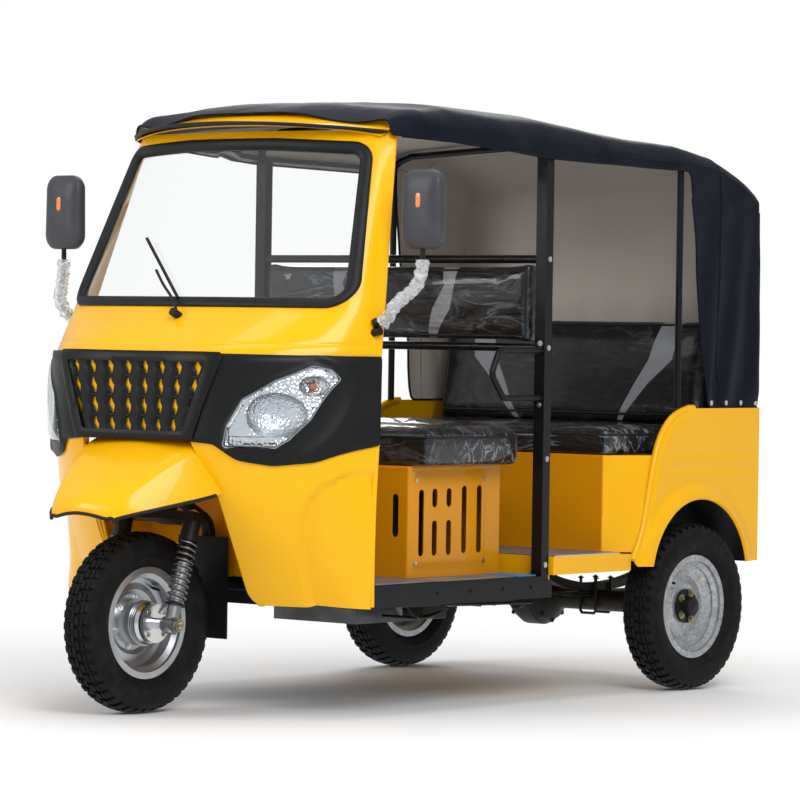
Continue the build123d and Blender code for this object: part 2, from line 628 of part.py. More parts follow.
# ---------------------------------------------------------------- pillars, rails, handles
hood_cloth = 10
pillar_top_z = valance_pillar_z + rail_rise - rail_tube - seat_gap
rail_radius = 13
upper_rail_z, lower_rail_z = 1382, 1106
partition = []
for side in (1, -1):
    partition.append(slab(side * (pillar_x - pillar_width / 2), side * (pillar_x + pillar_width / 2),
                          pillar_y - 18, pillar_y + 18, frame_top + seat_gap, pillar_top_z))
cross_rails = [rod((-pillar_x, pillar_y, z), (pillar_x, pillar_y, z), rail_radius)
               for z in (upper_rail_z, lower_rail_z)]
partition_frame = partition[0] + cross_rails[0] + cross_rails[1] + partition[1]
write("partition_frame", partition_frame)

handle_radius, handle_reach = 10, 205
handle_top_z, handle_low_z = lower_rail_z - 8, 950
handle_x = pillar_x + 4
start_y = pillar_y - 18 - seat_gap
handle = bent_bar([(handle_x, start_y, handle_top_z), (handle_x, start_y - handle_reach, handle_top_z),
                   (handle_x, start_y - handle_reach - 40, (handle_top_z + handle_low_z) / 2),
                   (handle_x, start_y - handle_reach + 20, handle_low_z),
                   (handle_x, start_y, handle_low_z)], 30, handle_radius)
write("grab_handles", *both_sides(handle))

# ---------------------------------------------------------------- seats and floors
seat_box_half, seat_box_rear = 450, pillar_y - 40
driver_pad_thick = 120
box_top = seat_top_z - driver_pad_thick
seat_box = slab(-seat_box_half, seat_box_half, seat_box_y, seat_box_rear, driver_floor_z, box_top)
seat_box -= slab(-seat_box_half + sheet, seat_box_half - sheet, seat_box_y + sheet, seat_box_rear - sheet,
                 driver_floor_z - 1, box_top - sheet)
slot_width, slot_low, slot_high, slot_count = 22, 490, 680, 5
first_slot, slot_pitch = 130, 56      # from the box's front, and from one slot to the next
for index in range(slot_count):
    y = seat_box_y + first_slot + index * slot_pitch
    seat_box -= slab(-seat_box_half - 1, seat_box_half + 1, y, y + slot_width, slot_low, slot_high)
write("driver_seat_box", seat_box)


def cushion(x, y, z, corner):
    """A seat pad with its four upright corners rounded."""
    pad = slab(*x, *y, *z)
    return fillet(pad.edges().filter_by(Axis.Z), corner)


pad_gap = 0.5
pad_overhang = 25            # how far a pad reaches ahead of the box under it
driver_pad_half, driver_pad_corner = pillar_x - 30, 60
driver_cushion = cushion((-driver_pad_half, driver_pad_half), (seat_box_y - pad_overhang, pillar_y - 24),
                         (box_top + pad_gap, seat_top_z), driver_pad_corner)
write("driver_cushion", driver_cushion)
backrest_thick = 66
back_low, back_high = lower_rail_z + rail_radius + pad_gap, upper_rail_z - rail_radius - pad_gap
write("driver_backrest", slab(-pillar_x + 26, pillar_x - 26, pillar_y - backrest_thick / 2,
                              pillar_y + backrest_thick / 2, back_low, back_high))

liner_x = rear_track / 2 - tyre_width / 2 - 30
floor_start_y, floor_wide_end = step_y + seat_gap, seat_base_y + 55 - seat_gap
ledge_z = passenger_floor_z - 4       # the floor is let down under the seat base
valance_thick = 20
valance_x = cab_half_width - valance_thick     # inner face of the sill that hangs at the floor's edge
valance_low = 398
passenger_floor = slab(-valance_x, valance_x, floor_start_y, seat_base_y - seat_gap, frame_top_rear,
                       passenger_floor_z)
passenger_floor += slab(-valance_x, valance_x, seat_base_y - seat_gap, floor_wide_end, frame_top_rear,
                        ledge_z)
passenger_floor += slab(-liner_x + 8, liner_x - 8, floor_wide_end, tail_y - 50, frame_top_rear, ledge_z)
for side in (1, -1):
    passenger_floor += slab(side * (valance_x - 10), side * cab_half_width, floor_start_y,
                            seat_base_y - seat_gap, valance_low, passenger_floor_z)
    passenger_floor += slab(side * (valance_x - 10), side * cab_half_width, seat_base_y - seat_gap,
                            floor_wide_end, valance_low, ledge_z)
    passenger_floor += slab(side * (rail_x + 24), side * valance_x, floor_start_y, floor_start_y + sheet,
                            frame_top, passenger_floor_z)
write("passenger_floor", passenger_floor)

base_half = 540
arch_radius = 268
arch_y, arch_z = rear_axle_y + 15, 355
liner_front_y = arch_y - arch_radius - 10
base = slab(-base_half, base_half, seat_base_y, seat_base_y + sheet, ledge_z, seat_base_z)
base += slab(-base_half, base_half, seat_base_y, tail_y - 48, seat_base_z - sheet, seat_base_z)
for side in (1, -1):
    base += slab(side * (base_half - sheet), side * base_half, seat_base_y, seat_base_y + 90,
                 ledge_z, seat_base_z)
write("passenger_seat_base", base)
pad_rear_y = tail_y - 150
bench_pad_half, bench_pad_corner, bench_drop = cab_half_width - 40, 50, 2
bench_cushion = cushion((-bench_pad_half, bench_pad_half), (seat_base_y - pad_overhang, pad_rear_y),
                        (seat_base_z + pad_gap, seat_top_z - bench_drop), bench_pad_corner)
write("passenger_cushion", bench_cushion)
backrest_top_z = 1220
back_rear_y = pad_rear_y + 60
back_face = [(pad_rear_y - 90, seat_top_z), (pad_rear_y - 20, backrest_top_z), (back_rear_y, backrest_top_z),
             (back_rear_y, seat_base_z + pad_gap), (pad_rear_y + pad_gap, seat_base_z + pad_gap),
             (pad_rear_y + pad_gap, seat_top_z)]
back_half = bench_pad_half - 5
write("passenger_backrest", side_plate(back_face, -back_half, back_half))

# ---------------------------------------------------------------- rear body
panel_x0, panel_x1 = cab_half_width - 16, cab_half_width + 14
lamp_depth = 14
body_rear_y = tail_y - lamp_depth - seat_gap
panel_outline = [(seat_base_y + 55, body_low_z + 20), (seat_base_y + 85, 470), (seat_base_y + 150, 640),
                 (seat_base_y + 195, 800), (seat_base_y + 250, 875), (seat_base_y + 320, waist_z),
                 (body_rear_y, waist_z), (body_rear_y, body_low_z), (seat_base_y + 80, body_low_z)]
lip_out, lip_width = 22, 24
liner_wall = 6


def arch_disc(radius, x0, x1):
    """A disc on the middle of the wheel arch."""
    return rod((x0, arch_y, arch_z), (x1, arch_y, arch_z), radius)


above = slab(-900, 900, arch_y - 400, arch_y + 400, body_low_z, waist_z - 15)
side_panel = side_plate(panel_outline, panel_x0, panel_x1)
side_panel += arch_disc(arch_radius + lip_width, panel_x0, panel_x1 + lip_out) & above
side_panel += arch_disc(arch_radius + liner_wall, liner_x, panel_x0 + 1) & above
side_panel -= arch_disc(arch_radius, liner_x + liner_wall, panel_x1 + lip_out + 10)
side_panel -= slab(panel_x0 - 200, panel_x1 + 100, body_rear_y, body_rear_y + 200, 300, 1000)
write("rear_side_panels", *both_sides(side_panel))

tail = slab(-panel_x0 + seat_gap, panel_x0 - seat_gap, body_rear_y - 28, body_rear_y, body_low_z, waist_z)
plate_z, plate_hole_pitch, plate_hole_radius = 560, 150, 3.5
for side in (1, -1):
    hole_x = side * plate_hole_pitch / 2
    tail -= rod((hole_x, body_rear_y - 40, plate_z), (hole_x, body_rear_y + 10, plate_z), plate_hole_radius)
write("tail_panel", tail)
lamp_x, lamp_z, lamp_half, lamp_tall = 500, 690, 45, 70
lamp = slab(lamp_x - lamp_half, lamp_x + lamp_half, body_rear_y + seat_gap, tail_y,
            lamp_z - lamp_tall, lamp_z + lamp_tall)
write("tail_lamps", *both_sides(lamp))

# ---------------------------------------------------------------- hood
# Cross sections of the canvas hood, front to back.  Columns: station, how far the sides
# lie outside the cab's half width, side height, the same for the edge of the top, its
# height, height of the crown.
hood_rows = [
    (nose_y + 488, -60, 1778, -140, 1815, 1838),
    (nose_y + 760, -24, 1772, -110, 1836, 1860),
    (pillar_y, -2, 1748, -90, 1820, 1852),
    (rear_axle_y - 60, 6, 1712, -80, 1768, 1796),
    (rear_axle_y + 215, 8, 1662, -72, 1712, 1732),
    (body_rear_y, 8, 1588, -60, 1626, 1636),
]
hood_sections = [(y, cab_half_width + out, side_z, cab_half_width + top_out, top_z, crown)
                 for y, out, side_z, top_out, top_z, crown in hood_rows]
corner_out, corner_up = 16, 12        # how far the cloth swells past the straight line round its corner


def hood_corners(section, depth):
    """Half a cross section at a depth under the cloth: its side, corner, top's edge and crown."""
    y, half, side_z, top_half, top_z, crown = section
    corner = ((half + top_half) / 2 + corner_out - depth, (side_z + top_z) / 2 + corner_up - depth)
    return [(half - depth, side_z), corner, (top_half - depth / 2, top_z - depth), (0, crown - depth)]


def hood_form(depth, low, front, rear):
    """The hood's outer form moved inwards by a depth, down to a low edge."""
    wires = []
    for index, section in enumerate(hood_sections):
        y = section[0]
        y += -front if index == 0 else -rear if index == len(hood_sections) - 1 else 0
        side, corner, top, crown = [(x, y, z) for x, z in hood_corners(section, depth)]
        side_, corner_, top_ = [(-x, y, z) for x, y, z in (side, corner, top)]
        foot, foot_ = (side[0], y, low), (side_[0], y, low)
        arcs = [ThreePointArc(side, corner, top), ThreePointArc(top, crown, top_),
                ThreePointArc(top_, corner_, side_)]
        wires.append(Wire([Line(foot, side), *arcs, Line(side_, foot_), Line(foot_, foot)]))
    return Solid.make_loft(wires, True)


hood = hood_form(0, waist_z + seat_gap, 0, 0) - hood_form(hood_cloth, waist_z - 60, 40, hood_cloth)
cut_low_z, past_sides = waist_z - 100, 900
door_cut = [(nose_y + 310, cut_low_z), (nose_y + 310, valance_front_z), (pillar_y, valance_pillar_z),
            (rear_axle_y - 35, valance_rear_z), (rear_axle_y + 75, cut_low_z)]
hood -= side_plate(door_cut, -past_sides, past_sides)
write("canvas_hood", hood)

bow_set = 1.0
bow_inset = hood_cloth + tube + bow_set


def bow(section, low):
    """A bent bow under the cloth at one station."""
    y = section[0]
    side, corner, top, crown = hood_corners(section, bow_inset)
    half = [(side[0], low), side, corner, top]
    points = half + [crown] + [(-x, z) for x, z in reversed(half)]
    return bent_bar([(x, y, z) for x, z in points], bow_bend, tube)


bow_bend = 20
rail_points = [(hood_sections[0][1] - bow_inset, visor_rear + 4 * seat_gap, valance_front_z),
               (hood_sections[1][1] - bow_inset, hood_sections[1][0], valance_front_z - 8),
               (hood_sections[2][1] - bow_inset, pillar_y, valance_pillar_z + rail_rise),
               (hood_sections[3][1] - bow_inset, hood_sections[3][0], valance_rear_z + rail_rise)]
hood_bows = bow(hood_sections[3], waist_z + seat_gap)
for station, point in zip(hood_sections[1:3], rail_points[1:3]):
    hood_bows += bow(station, point[2])
for side in (1, -1):
    for a, b in zip(rail_points, rail_points[1:]):
        hood_bows += rod((side * a[0], a[1], a[2]), (side * b[0], b[1], b[2]), rail_tube)
write("hood_bows", hood_bows)

# ---------------------------------------------------------------- mirrors
mirror_y, mirror_z = nose_y + 430, 1512
mirror_half, mirror_tall, mirror_deep, mirror_corner = 68, 118, 24, 40
arm_radius, arm_bend = 8, 20
bracket_y, bracket_z = nose_y + 340, 1172
elbow_y, elbow_z, upright_z = mirror_y - 40, 1262, 1330
housing = slab(mirror_reach - mirror_half, mirror_reach + mirror_half, mirror_y - mirror_deep,
               mirror_y + mirror_deep, mirror_z - mirror_tall, mirror_z + mirror_tall)
housing = fillet(housing.edges().filter_by(Axis.Y), mirror_corner)
arm = bent_bar([(cab_half_width - 30, bracket_y, bracket_z), (cab_half_width + 20, bracket_y, bracket_z + 4),
                (mirror_reach - 30, elbow_y, elbow_z), (mirror_reach, mirror_y, upright_z),
                (mirror_reach, mirror_y, mirror_z - mirror_tall + arm_radius)], arm_bend, arm_radius)
mirror_piece = housing + arm
mirror_piece -= cab_form(-seat_gap, sill_z, cab_top_z)
write("mirrors", *both_sides(mirror_piece))
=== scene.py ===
import math
import random
from contextlib import contextmanager
import bmesh
import bpy
import numpy as np
from mathutils import Matrix, Vector, bvhtree, geometry, noise


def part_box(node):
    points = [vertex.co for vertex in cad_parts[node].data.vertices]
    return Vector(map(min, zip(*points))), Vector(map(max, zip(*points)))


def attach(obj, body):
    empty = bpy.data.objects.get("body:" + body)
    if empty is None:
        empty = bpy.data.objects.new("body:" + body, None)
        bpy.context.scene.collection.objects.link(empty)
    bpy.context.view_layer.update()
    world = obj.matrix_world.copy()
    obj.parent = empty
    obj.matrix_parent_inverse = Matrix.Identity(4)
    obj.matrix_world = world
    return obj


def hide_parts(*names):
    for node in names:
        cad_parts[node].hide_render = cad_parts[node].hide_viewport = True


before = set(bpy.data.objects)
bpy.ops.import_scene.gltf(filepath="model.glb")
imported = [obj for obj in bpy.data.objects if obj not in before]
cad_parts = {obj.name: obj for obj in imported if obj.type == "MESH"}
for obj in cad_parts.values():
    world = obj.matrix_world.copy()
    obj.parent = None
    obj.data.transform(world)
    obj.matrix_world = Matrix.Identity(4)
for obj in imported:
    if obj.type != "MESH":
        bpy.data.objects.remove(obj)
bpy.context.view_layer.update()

# ---------------------------------------------------------------- camera and studio
# A long lens set low and well back from the left front corner.  A pale floor runs out
# into white; one large soft lamp hangs to the left, with weaker ones in front and above.
CAMERA_PLACE = (8.522, -10.093, 1.157)
CAMERA_AZIMUTH, CAMERA_PITCH, CAMERA_ROLL = 39.66, 0.973, 0.863
FOCAL_PIXELS, FRAME_PIXELS, SENSOR = 4162, 800, 36


def camera_turn(azimuth, pitch, roll):
    """The camera's axes as columns: its right, its up and the way back from what it sees."""
    a, p, r = (math.radians(v) for v in (azimuth, pitch, roll))
    ahead = Vector((-math.sin(a) * math.cos(p), math.cos(a) * math.cos(p), -math.sin(p)))
    level = Vector((math.cos(a), math.sin(a), 0))
    above = level.cross(ahead)
    right = level * math.cos(r) + above * math.sin(r)
    up = above * math.cos(r) - level * math.sin(r)
    return Matrix((right, up, -ahead)).transposed().to_4x4()


def linked(name, data):
    """An object in the scene, made from its data."""
    made = bpy.data.objects.new(name, data)
    bpy.context.scene.collection.objects.link(made)
    return made


lens = bpy.data.cameras.new("camera")
lens.sensor_width = SENSOR
lens.lens = FOCAL_PIXELS * SENSOR / FRAME_PIXELS
lens.clip_end = 80
camera = linked("camera", lens)
camera.matrix_world = (Matrix.Translation(CAMERA_PLACE)
                       @ camera_turn(CAMERA_AZIMUTH, CAMERA_PITCH, CAMERA_ROLL))
bpy.context.scene.camera = camera
bpy.context.scene.view_settings.view_transform = "Standard"


def linear(code):
    """An sRGB hex colour as the linear values that a shader wants."""
    parts = [int(code[i:i + 2], 16) / 255 for i in (1, 3, 5)]
    return [v / 12.92 if v <= 0.04045 else ((v + 0.055) / 1.055) ** 2.4 for v in parts] + [1.0]


def plug(node, inputs):
    """Sets a node's inputs to values, or links them from sockets or from nodes' first outputs."""
    for key, value in inputs.items():
        if isinstance(value, bpy.types.Node):
            value = next(socket for socket in value.outputs if socket.enabled)
        if isinstance(value, bpy.types.NodeSocket):
            node.id_data.links.new(value, node.inputs[key])
        else:
            node.inputs[key].default_value = value


def add_node(tree, kind, inputs=None, **settings):
    """Adds a node: settings are its own properties, and inputs are its values and links."""
    made = tree.nodes.new(kind if "Node" in kind else "ShaderNode" + kind)
    for key, value in settings.items():
        setattr(made, key, value)
    plug(made, inputs or {})
    return made


def new_finish(name, **sockets):
    """A material, its tree and its Principled shader, whose constant sockets are given by name."""
    made = bpy.data.materials.new(name)
    made.use_nodes = True
    shader = made.node_tree.nodes["Principled BSDF"]
    plug(shader, {key.replace("_", " "): value for key, value in sockets.items()})
    return made, made.node_tree, shader


def mesh_piece(name, points, faces, finish, smooth=True):
    """A mesh object at the origin from points and faces."""
    mesh = bpy.data.meshes.new(name)
    mesh.from_pydata([tuple(map(float, p)) for p in points], [], [tuple(map(int, f)) for f in faces])
    mesh.validate()
    mesh.polygons.foreach_set("use_smooth", [smooth] * len(mesh.polygons))
    mesh.materials.append(finish)
    return linked(name, mesh)


FLOOR_HALF = 40.0
FADE_NEAR, FADE_FAR = 1.6, 3.4       # metres from the middle between which the floor turns white
WHITE = (1, 1, 1, 1)
floor_finish, tree, shader = new_finish("studio_floor", Base_Color=linear("#E6E6E6"), Roughness=0.9)
place = add_node(tree, "TexCoord").outputs["Object"]
reach = add_node(tree, "VectorMath", {0: place}, operation="LENGTH")
far = add_node(tree, "MapRange", {0: reach, 1: FADE_NEAR, 2: FADE_FAR}, interpolation_type="SMOOTHSTEP")
ray = add_node(tree, "LightPath").outputs
straight = add_node(tree, "Math", {0: ray["Is Camera Ray"], 1: ray["Is Transmission Ray"]},
                    operation="MAXIMUM")
fade = add_node(tree, "Math", {0: far, 1: straight}, operation="MULTIPLY")
white = add_node(tree, "Math", {0: fade, 1: ray["Is Glossy Ray"]}, operation="MAXIMUM")
glow = add_node(tree, "Emission", {"Color": WHITE, "Strength": 1.0})
plug(tree.nodes["Material Output"], {"Surface": add_node(tree, "MixShader", {0: white, 1: shader, 2: glow})})
floor = mesh_piece("floor", [(-FLOOR_HALF, -FLOOR_HALF, 0), (FLOOR_HALF, -FLOOR_HALF, 0),
                             (FLOOR_HALF, FLOOR_HALF, 0), (-FLOOR_HALF, FLOOR_HALF, 0)],
                   [(0, 1, 2, 3)], floor_finish, smooth=False)

world = bpy.data.worlds.new("studio")
bpy.context.scene.world = world
world.use_nodes = True
tree = world.node_tree
ray = add_node(tree, "LightPath").outputs
straight = add_node(tree, "Math", {0: ray["Is Camera Ray"], 1: ray["Is Transmission Ray"]},
                    operation="MAXIMUM")
backdrop = add_node(tree, "Background", {"Color": WHITE, "Strength": 1.0})
room = add_node(tree, "Background", {"Color": linear("#F3F5F8"), "Strength": 0.62})
either = add_node(tree, "MixShader", {0: straight, 1: room, 2: backdrop})
plug(tree.nodes["World Output"], {"Surface": either})

# Columns: name, place, what it looks at, size in metres, power in watts.
LAMPS = [("key", (5.2, -3.6, 4.6), (0.0, 0.0, 0.7), 3.2, 300),
         ("front", (-3.2, -6.0, 3.4), (0.0, -0.6, 0.8), 3.0, 170),
         ("top", (0.0, 0.5, 5.5), (0.0, 0.0, 0.0), 4.0, 110),
         ("back", (-3.5, 5.0, 3.5), (0.0, 0.5, 0.9), 3.0, 120)]
for name, spot, aim, size, power in LAMPS:
    light = bpy.data.lights.new(name, "AREA")
    light.size, light.energy = size, power
    lamp = linked(name, light)
    lamp.location = spot
    lamp.rotation_euler = (Vector(aim) - Vector(spot)).to_track_quat("-Z", "Y").to_euler()

# ---------------------------------------------------------------- cab skin
# The nose cab: two pressed steel skins 24 mm apart, spot welded and sprayed in yellow
# enamel, with the windscreen opening and the arch over the front wheel cut out.
NOSE_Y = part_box("grille")[0][1] + 0.012
CAB_HALF = 0.620
CAB_WALL = 0.024
SILL_Z, SHOULDER_Z, CAB_TOP_Z = 0.328, 0.660, 1.752
MASK_LOW_Z, MASK_HIGH_Z = 0.815, 1.078
GLASS_LOW_Z, GLASS_HIGH_Z = 1.222, 1.708
# Level outlines.  Columns: height, how far behind the nose the skin is at six stations from
# the middle out, and the share of the half width at which the last five of them lie.
LOW_SHARES = (0.476, 0.645, 0.806, 0.927, 1.000)
CAB_LEVELS = [
    (SILL_Z, (0.205, 0.224, 0.255, 0.295, 0.326, 0.353), LOW_SHARES),
    (SHOULDER_Z, (0.058, 0.070, 0.115, 0.188, 0.268, 0.367), LOW_SHARES),
    (MASK_LOW_Z, (0.000, 0.010, 0.070, 0.165, 0.260, 0.378), LOW_SHARES),
    (MASK_HIGH_Z, (0.000, 0.010, 0.070, 0.165, 0.260, 0.382), LOW_SHARES),
    (GLASS_LOW_Z, (0.185, 0.218, 0.250, 0.295, 0.340, 0.415), (0.484, 0.700, 0.870, 0.943, 0.976)),
    (GLASS_HIGH_Z, (0.390, 0.418, 0.446, 0.481, 0.510, 0.545), (0.403, 0.597, 0.726, 0.798, 0.846)),
    (CAB_TOP_Z, (0.406, 0.434, 0.462, 0.497, 0.526, 0.561), (0.387, 0.581, 0.710, 0.782, 0.830)),
]
FOLD_ROUND = 0.022           # half the height over which one level plane rounds into the next
GRID_Z = np.arange(0.280, 1.800, 0.004)
GRID_T = np.linspace(-1, 1, 201)


def spline_through(knots, values, at):
    """A natural cubic spline through values at knots, read at the places given."""
    gaps = np.diff(knots)
    slopes = np.diff(values) / gaps
    count = len(knots)
    system = np.eye(count)
    right = np.zeros(count)
    for i in range(1, count - 1):
        system[i, i - 1:i + 2] = gaps[i - 1], 2 * (gaps[i - 1] + gaps[i]), gaps[i]
        right[i] = 6 * (slopes[i] - slopes[i - 1])
    bend = np.linalg.solve(system, right)
    i = np.clip(np.searchsorted(knots, at) - 1, 0, count - 2)
    a, b = (knots[i + 1] - at), (at - knots[i])
    return ((bend[i] * a ** 3 + bend[i + 1] * b ** 3) / (6 * gaps[i])
            + (values[i] / gaps[i] - bend[i] * gaps[i] / 6) * a
            + (values[i + 1] / gaps[i] - bend[i + 1] * gaps[i] / 6) * b)


def level_rows():
    """The skin's plan curve at every height of the grid, as x and y tables."""
    heights = np.array([row[0] for row in CAB_LEVELS])
    rows = np.array([list(row[1]) + [CAB_HALF * v for v in row[2]] for row in CAB_LEVELS])
    low = rows[0] + (rows[0] - rows[1]) * 0.1 / (heights[1] - heights[0])
    high = rows[-1] + (rows[-1] - rows[-2]) * 0.1 / (heights[-1] - heights[-2])
    heights = np.concatenate([[heights[0] - 0.1], heights, [heights[-1] + 0.1]])
    rows = np.vstack([low, rows, high])
    spread = np.linspace(-FOLD_ROUND, FOLD_ROUND, 9)
    table_x, table_y = [], []
    for z in GRID_Z:
        near = [np.interp(z + spread, heights, column).mean() for column in rows.T]
        backs, reach = np.array(near[:6]), np.array([0] + near[6:])
        x = np.concatenate([-reach[:0:-1], reach])
        y = NOSE_Y + np.concatenate([backs[:0:-1], backs])
        along = np.concatenate([[0], np.cumsum(np.hypot(np.diff(x), np.diff(y)))])
        along = along / along[-1] * 2 - 1
        table_x.append(spline_through(along, x, GRID_T))
        table_y.append(spline_through(along, y, GRID_T))
    return np.array(table_x), np.array(table_y)


SKIN_X, SKIN_Y = level_rows()


def cell_of(z):
    """The row of the grid at a height, in whole rows and parts."""
    return np.clip((z - GRID_Z[0]) / (GRID_Z[1] - GRID_Z[0]), 0, len(GRID_Z) - 1.001)


def skin_at(t, z):
    """The point on the cab's skin at a share t across, from -1 to 1, and a height."""
    row = cell_of(z)
    column = np.clip((t + 1) / 2 * (len(GRID_T) - 1), 0, len(GRID_T) - 1.001)
    i, j = row.astype(int), column.astype(int)
    a, b = row - i, column - j

    def mixed(table):
        return ((1 - a) * ((1 - b) * table[i, j] + b * table[i, j + 1])
                + a * ((1 - b) * table[i + 1, j] + b * table[i + 1, j + 1]))
    return np.stack([mixed(SKIN_X), mixed(SKIN_Y), z], axis=-1)


def share_across(x, z):
    """The share t at which the skin lies x from the centre line at a height."""
    pairs = zip(np.atleast_1d(x), np.atleast_1d(z))
    return np.array([np.interp(one_x, SKIN_X[int(cell_of(one_z))], GRID_T) for one_x, one_z in pairs])


def raised(t, z, out):
    """Points at shares t and heights z, moved out along the skin's normal."""
    step = 0.004
    across = skin_at(np.clip(t + step, -1, 1), z) - skin_at(np.clip(t - step, -1, 1), z)
    upward = skin_at(t, z + step) - skin_at(t, z - step)
    normal = np.cross(across, upward)
    normal /= np.linalg.norm(normal, axis=-1, keepdims=True)
    return skin_at(t, z) + normal * np.asarray(out)[..., None]


def on_skin(x, z, out=0.0):
    """Points over the skin at x and z, standing out from it by a distance."""
    x, z = np.asarray(x, float), np.asarray(z, float)
    return raised(share_across(x, z), z, out)


def rounded(corners, steps=6):
    """A closed outline from corners (x, z, radius): each corner becomes an arc of that radius."""
    outline = []
    for index, (x, z, radius) in enumerate(corners):
        here = Vector((x, z))
        before = (Vector(corners[index - 1][:2]) - here).normalized()
        after = (Vector(corners[(index + 1) % len(corners)][:2]) - here).normalized()
        if radius == 0:
            outline.append((x, z))
            continue
        half = before.angle(after) / 2
        middle = here + (before + after).normalized() * radius / math.sin(half)
        start = here + before * radius / math.tan(half) - middle
        end = here + after * radius / math.tan(half) - middle
        swing = start.angle_signed(end)
        for step in range(steps + 1):
            angle = -swing * step / steps
            turned = Vector((start.x * math.cos(angle) - start.y * math.sin(angle),
                             start.x * math.sin(angle) + start.y * math.cos(angle)))
            outline.append(tuple(middle + turned))
    return outline


def divided(outline, pitch):
    """An outline with its long runs divided, so that no run is longer than the pitch."""
    points = []
    for (ax, ay), (bx, by) in zip(outline, outline[1:] + outline[:1]):
        count = max(1, math.ceil(math.dist((ax, ay), (bx, by)) / pitch))
        points += [(ax + (bx - ax) * k / count, ay + (by - ay) * k / count) for k in range(count)]
    return points


def inside(points, outline):
    """Which of the points lie inside a closed outline."""
    points, outline = np.asarray(points, float), np.asarray(outline, float)
    hit = np.zeros(len(points), bool)
    for (ax, ay), (bx, by) in zip(outline, np.roll(outline, -1, axis=0)):
        crosses = (ay > points[:, 1]) != (by > points[:, 1])
        if ay != by:
            hit ^= crosses & (points[:, 0] < (bx - ax) * (points[:, 1] - ay) / (by - ay) + ax)
    return hit


def filled(outline, holes=(), pitch=0.012, rows=()):
    """Fills a flat outline with triangles round its holes.  rows are extra heights with points."""
    points, edges = [], []
    for loop in (outline, *holes):
        first = len(points)
        points += list(loop)
        edges += [(first + k, first + (k + 1) % len(loop)) for k in range(len(loop))]

    def in_sheet(places):
        kept = inside(places, outline)
        for hole in holes:
            kept &= ~inside(places, hole)
        return kept
    xs, zs = np.array(outline, float).T
    levels = sorted(set(np.arange(min(zs) + pitch / 2, max(zs), pitch)) | set(rows))
    grid = [(x + (pitch / 2 if k % 2 else 0), z) for k, z in enumerate(levels)
            for x in np.arange(min(xs) + pitch / 4, max(xs), pitch)]
    rim = np.array(points)
    points += [point for point, kept in zip(grid, in_sheet(grid))
               if kept and np.hypot(*(rim - point).T).min() > pitch * 0.45]
    out = geometry.delaunay_2d_cdt([Vector(p) for p in points], edges, [], 0, 1e-6)
    spots, triangles = np.array([tuple(p) for p in out[0]]), np.array(out[2])
    return spots, triangles[in_sheet(spots[triangles].mean(axis=1))]


def yellow_enamel(name, tone, light):
    """Sprayed enamel: a deep colour under a wet gloss, with faint orange peel and light road dust."""
    made, tree, shader = new_finish(name, Roughness=0.28, Specular_IOR_Level=0.16, Coat_Weight=0.24,
                                    Coat_Roughness=0.05, IOR=1.5)
    place = add_node(tree, "TexCoord").outputs["Object"]
    cloud = add_node(tree, "TexNoise", {"Vector": place, "Scale": 2.6, "Detail": 4.0})
    shade = add_node(tree, "Mix", {"Factor": cloud, "A": linear(tone), "B": linear(light)}, data_type="RGBA")
    height = add_node(tree, "SeparateXYZ", {0: place}).outputs["Z"]
    low = add_node(tree, "MapRange", {0: height, 1: 0.62, 2: 0.30, 3: 0.0, 4: 0.10})
    grit = add_node(tree, "TexNoise", {"Vector": place, "Scale": 90.0, "Detail": 3.0})
    dust = add_node(tree, "Math", {0: low, 1: grit}, operation="MULTIPLY")
    worn = add_node(tree, "Mix", {"Factor": dust, "A": shade, "B": linear("#8C7A55")}, data_type="RGBA")
    # Orange peel: ripples about 5 mm apart and a few hundredths of a millimetre high.
    peel = add_node(tree, "TexNoise", {"Vector": place, "Scale": 190.0, "Detail": 1.0})
    waves = add_node(tree, "TexNoise", {"Vector": place, "Scale": 4.5, "Detail": 1.0})
    fine = add_node(tree, "Bump", {"Height": peel, "Strength": 0.05, "Distance": 0.0006})
    bump = add_node(tree, "Bump", {"Height": waves, "Strength": 0.12, "Distance": 0.006, "Normal": fine})
    plug(shader, {"Base Color": worn, "Normal": bump})
    return made


cab_yellow = yellow_enamel("sprayed_yellow_enamel", "#EBAA00", "#F1B404")
SCREEN = [(-0.572, GLASS_LOW_Z, 0.062), (0.572, GLASS_LOW_Z, 0.062), (0.478, GLASS_HIGH_Z, 0.062),
          (0.170, GLASS_HIGH_Z + 0.014, 0.6), (-0.170, GLASS_HIGH_Z + 0.014, 0.6),
          (-0.478, GLASS_HIGH_Z, 0.062)]
ARCH_HALF, ARCH_TOP_HALF = 0.270, 0.214
LAMP = [(0.322, 0.804, 0.010), (0.336, 0.868, 0.015), (0.374, 0.946, 0.020), (0.446, 1.002, 0.030),
        (0.524, 1.048, 0.012), (0.558, 1.036, 0.012), (0.573, 1.008, 0.010), (0.546, 0.952, 0.030),
        (0.520, 0.886, 0.030), (0.478, 0.827, 0.015), (0.448, 0.803, 0.010)]
lamp_hole = rounded(LAMP, 3)
edge_x = CAB_HALF + 0.05
cab_outline = rounded([(-edge_x, SILL_Z, 0), (-ARCH_HALF, SILL_Z, 0.045), (-ARCH_HALF, 0.655, 0.05),
                       (-ARCH_TOP_HALF, 0.830, 0), (ARCH_TOP_HALF, 0.830, 0), (ARCH_HALF, 0.655, 0.05),
                       (ARCH_HALF, SILL_Z, 0.045), (edge_x, SILL_Z, 0), (edge_x, CAB_TOP_Z, 0),
                       (-edge_x, CAB_TOP_Z, 0)])
SPREAD = 0.78                # metres along the skin from its middle to its edge, about


def flattened(outline, pitch=0.014):
    """An outline of (x, z) points as (share across, height) points, at the skin's own scale."""
    points = divided(list(outline), pitch)
    t = share_across([p[0] for p in points], [p[1] for p in points])
    return [(a * SPREAD, z) for a, (x, z) in zip(t, points)]


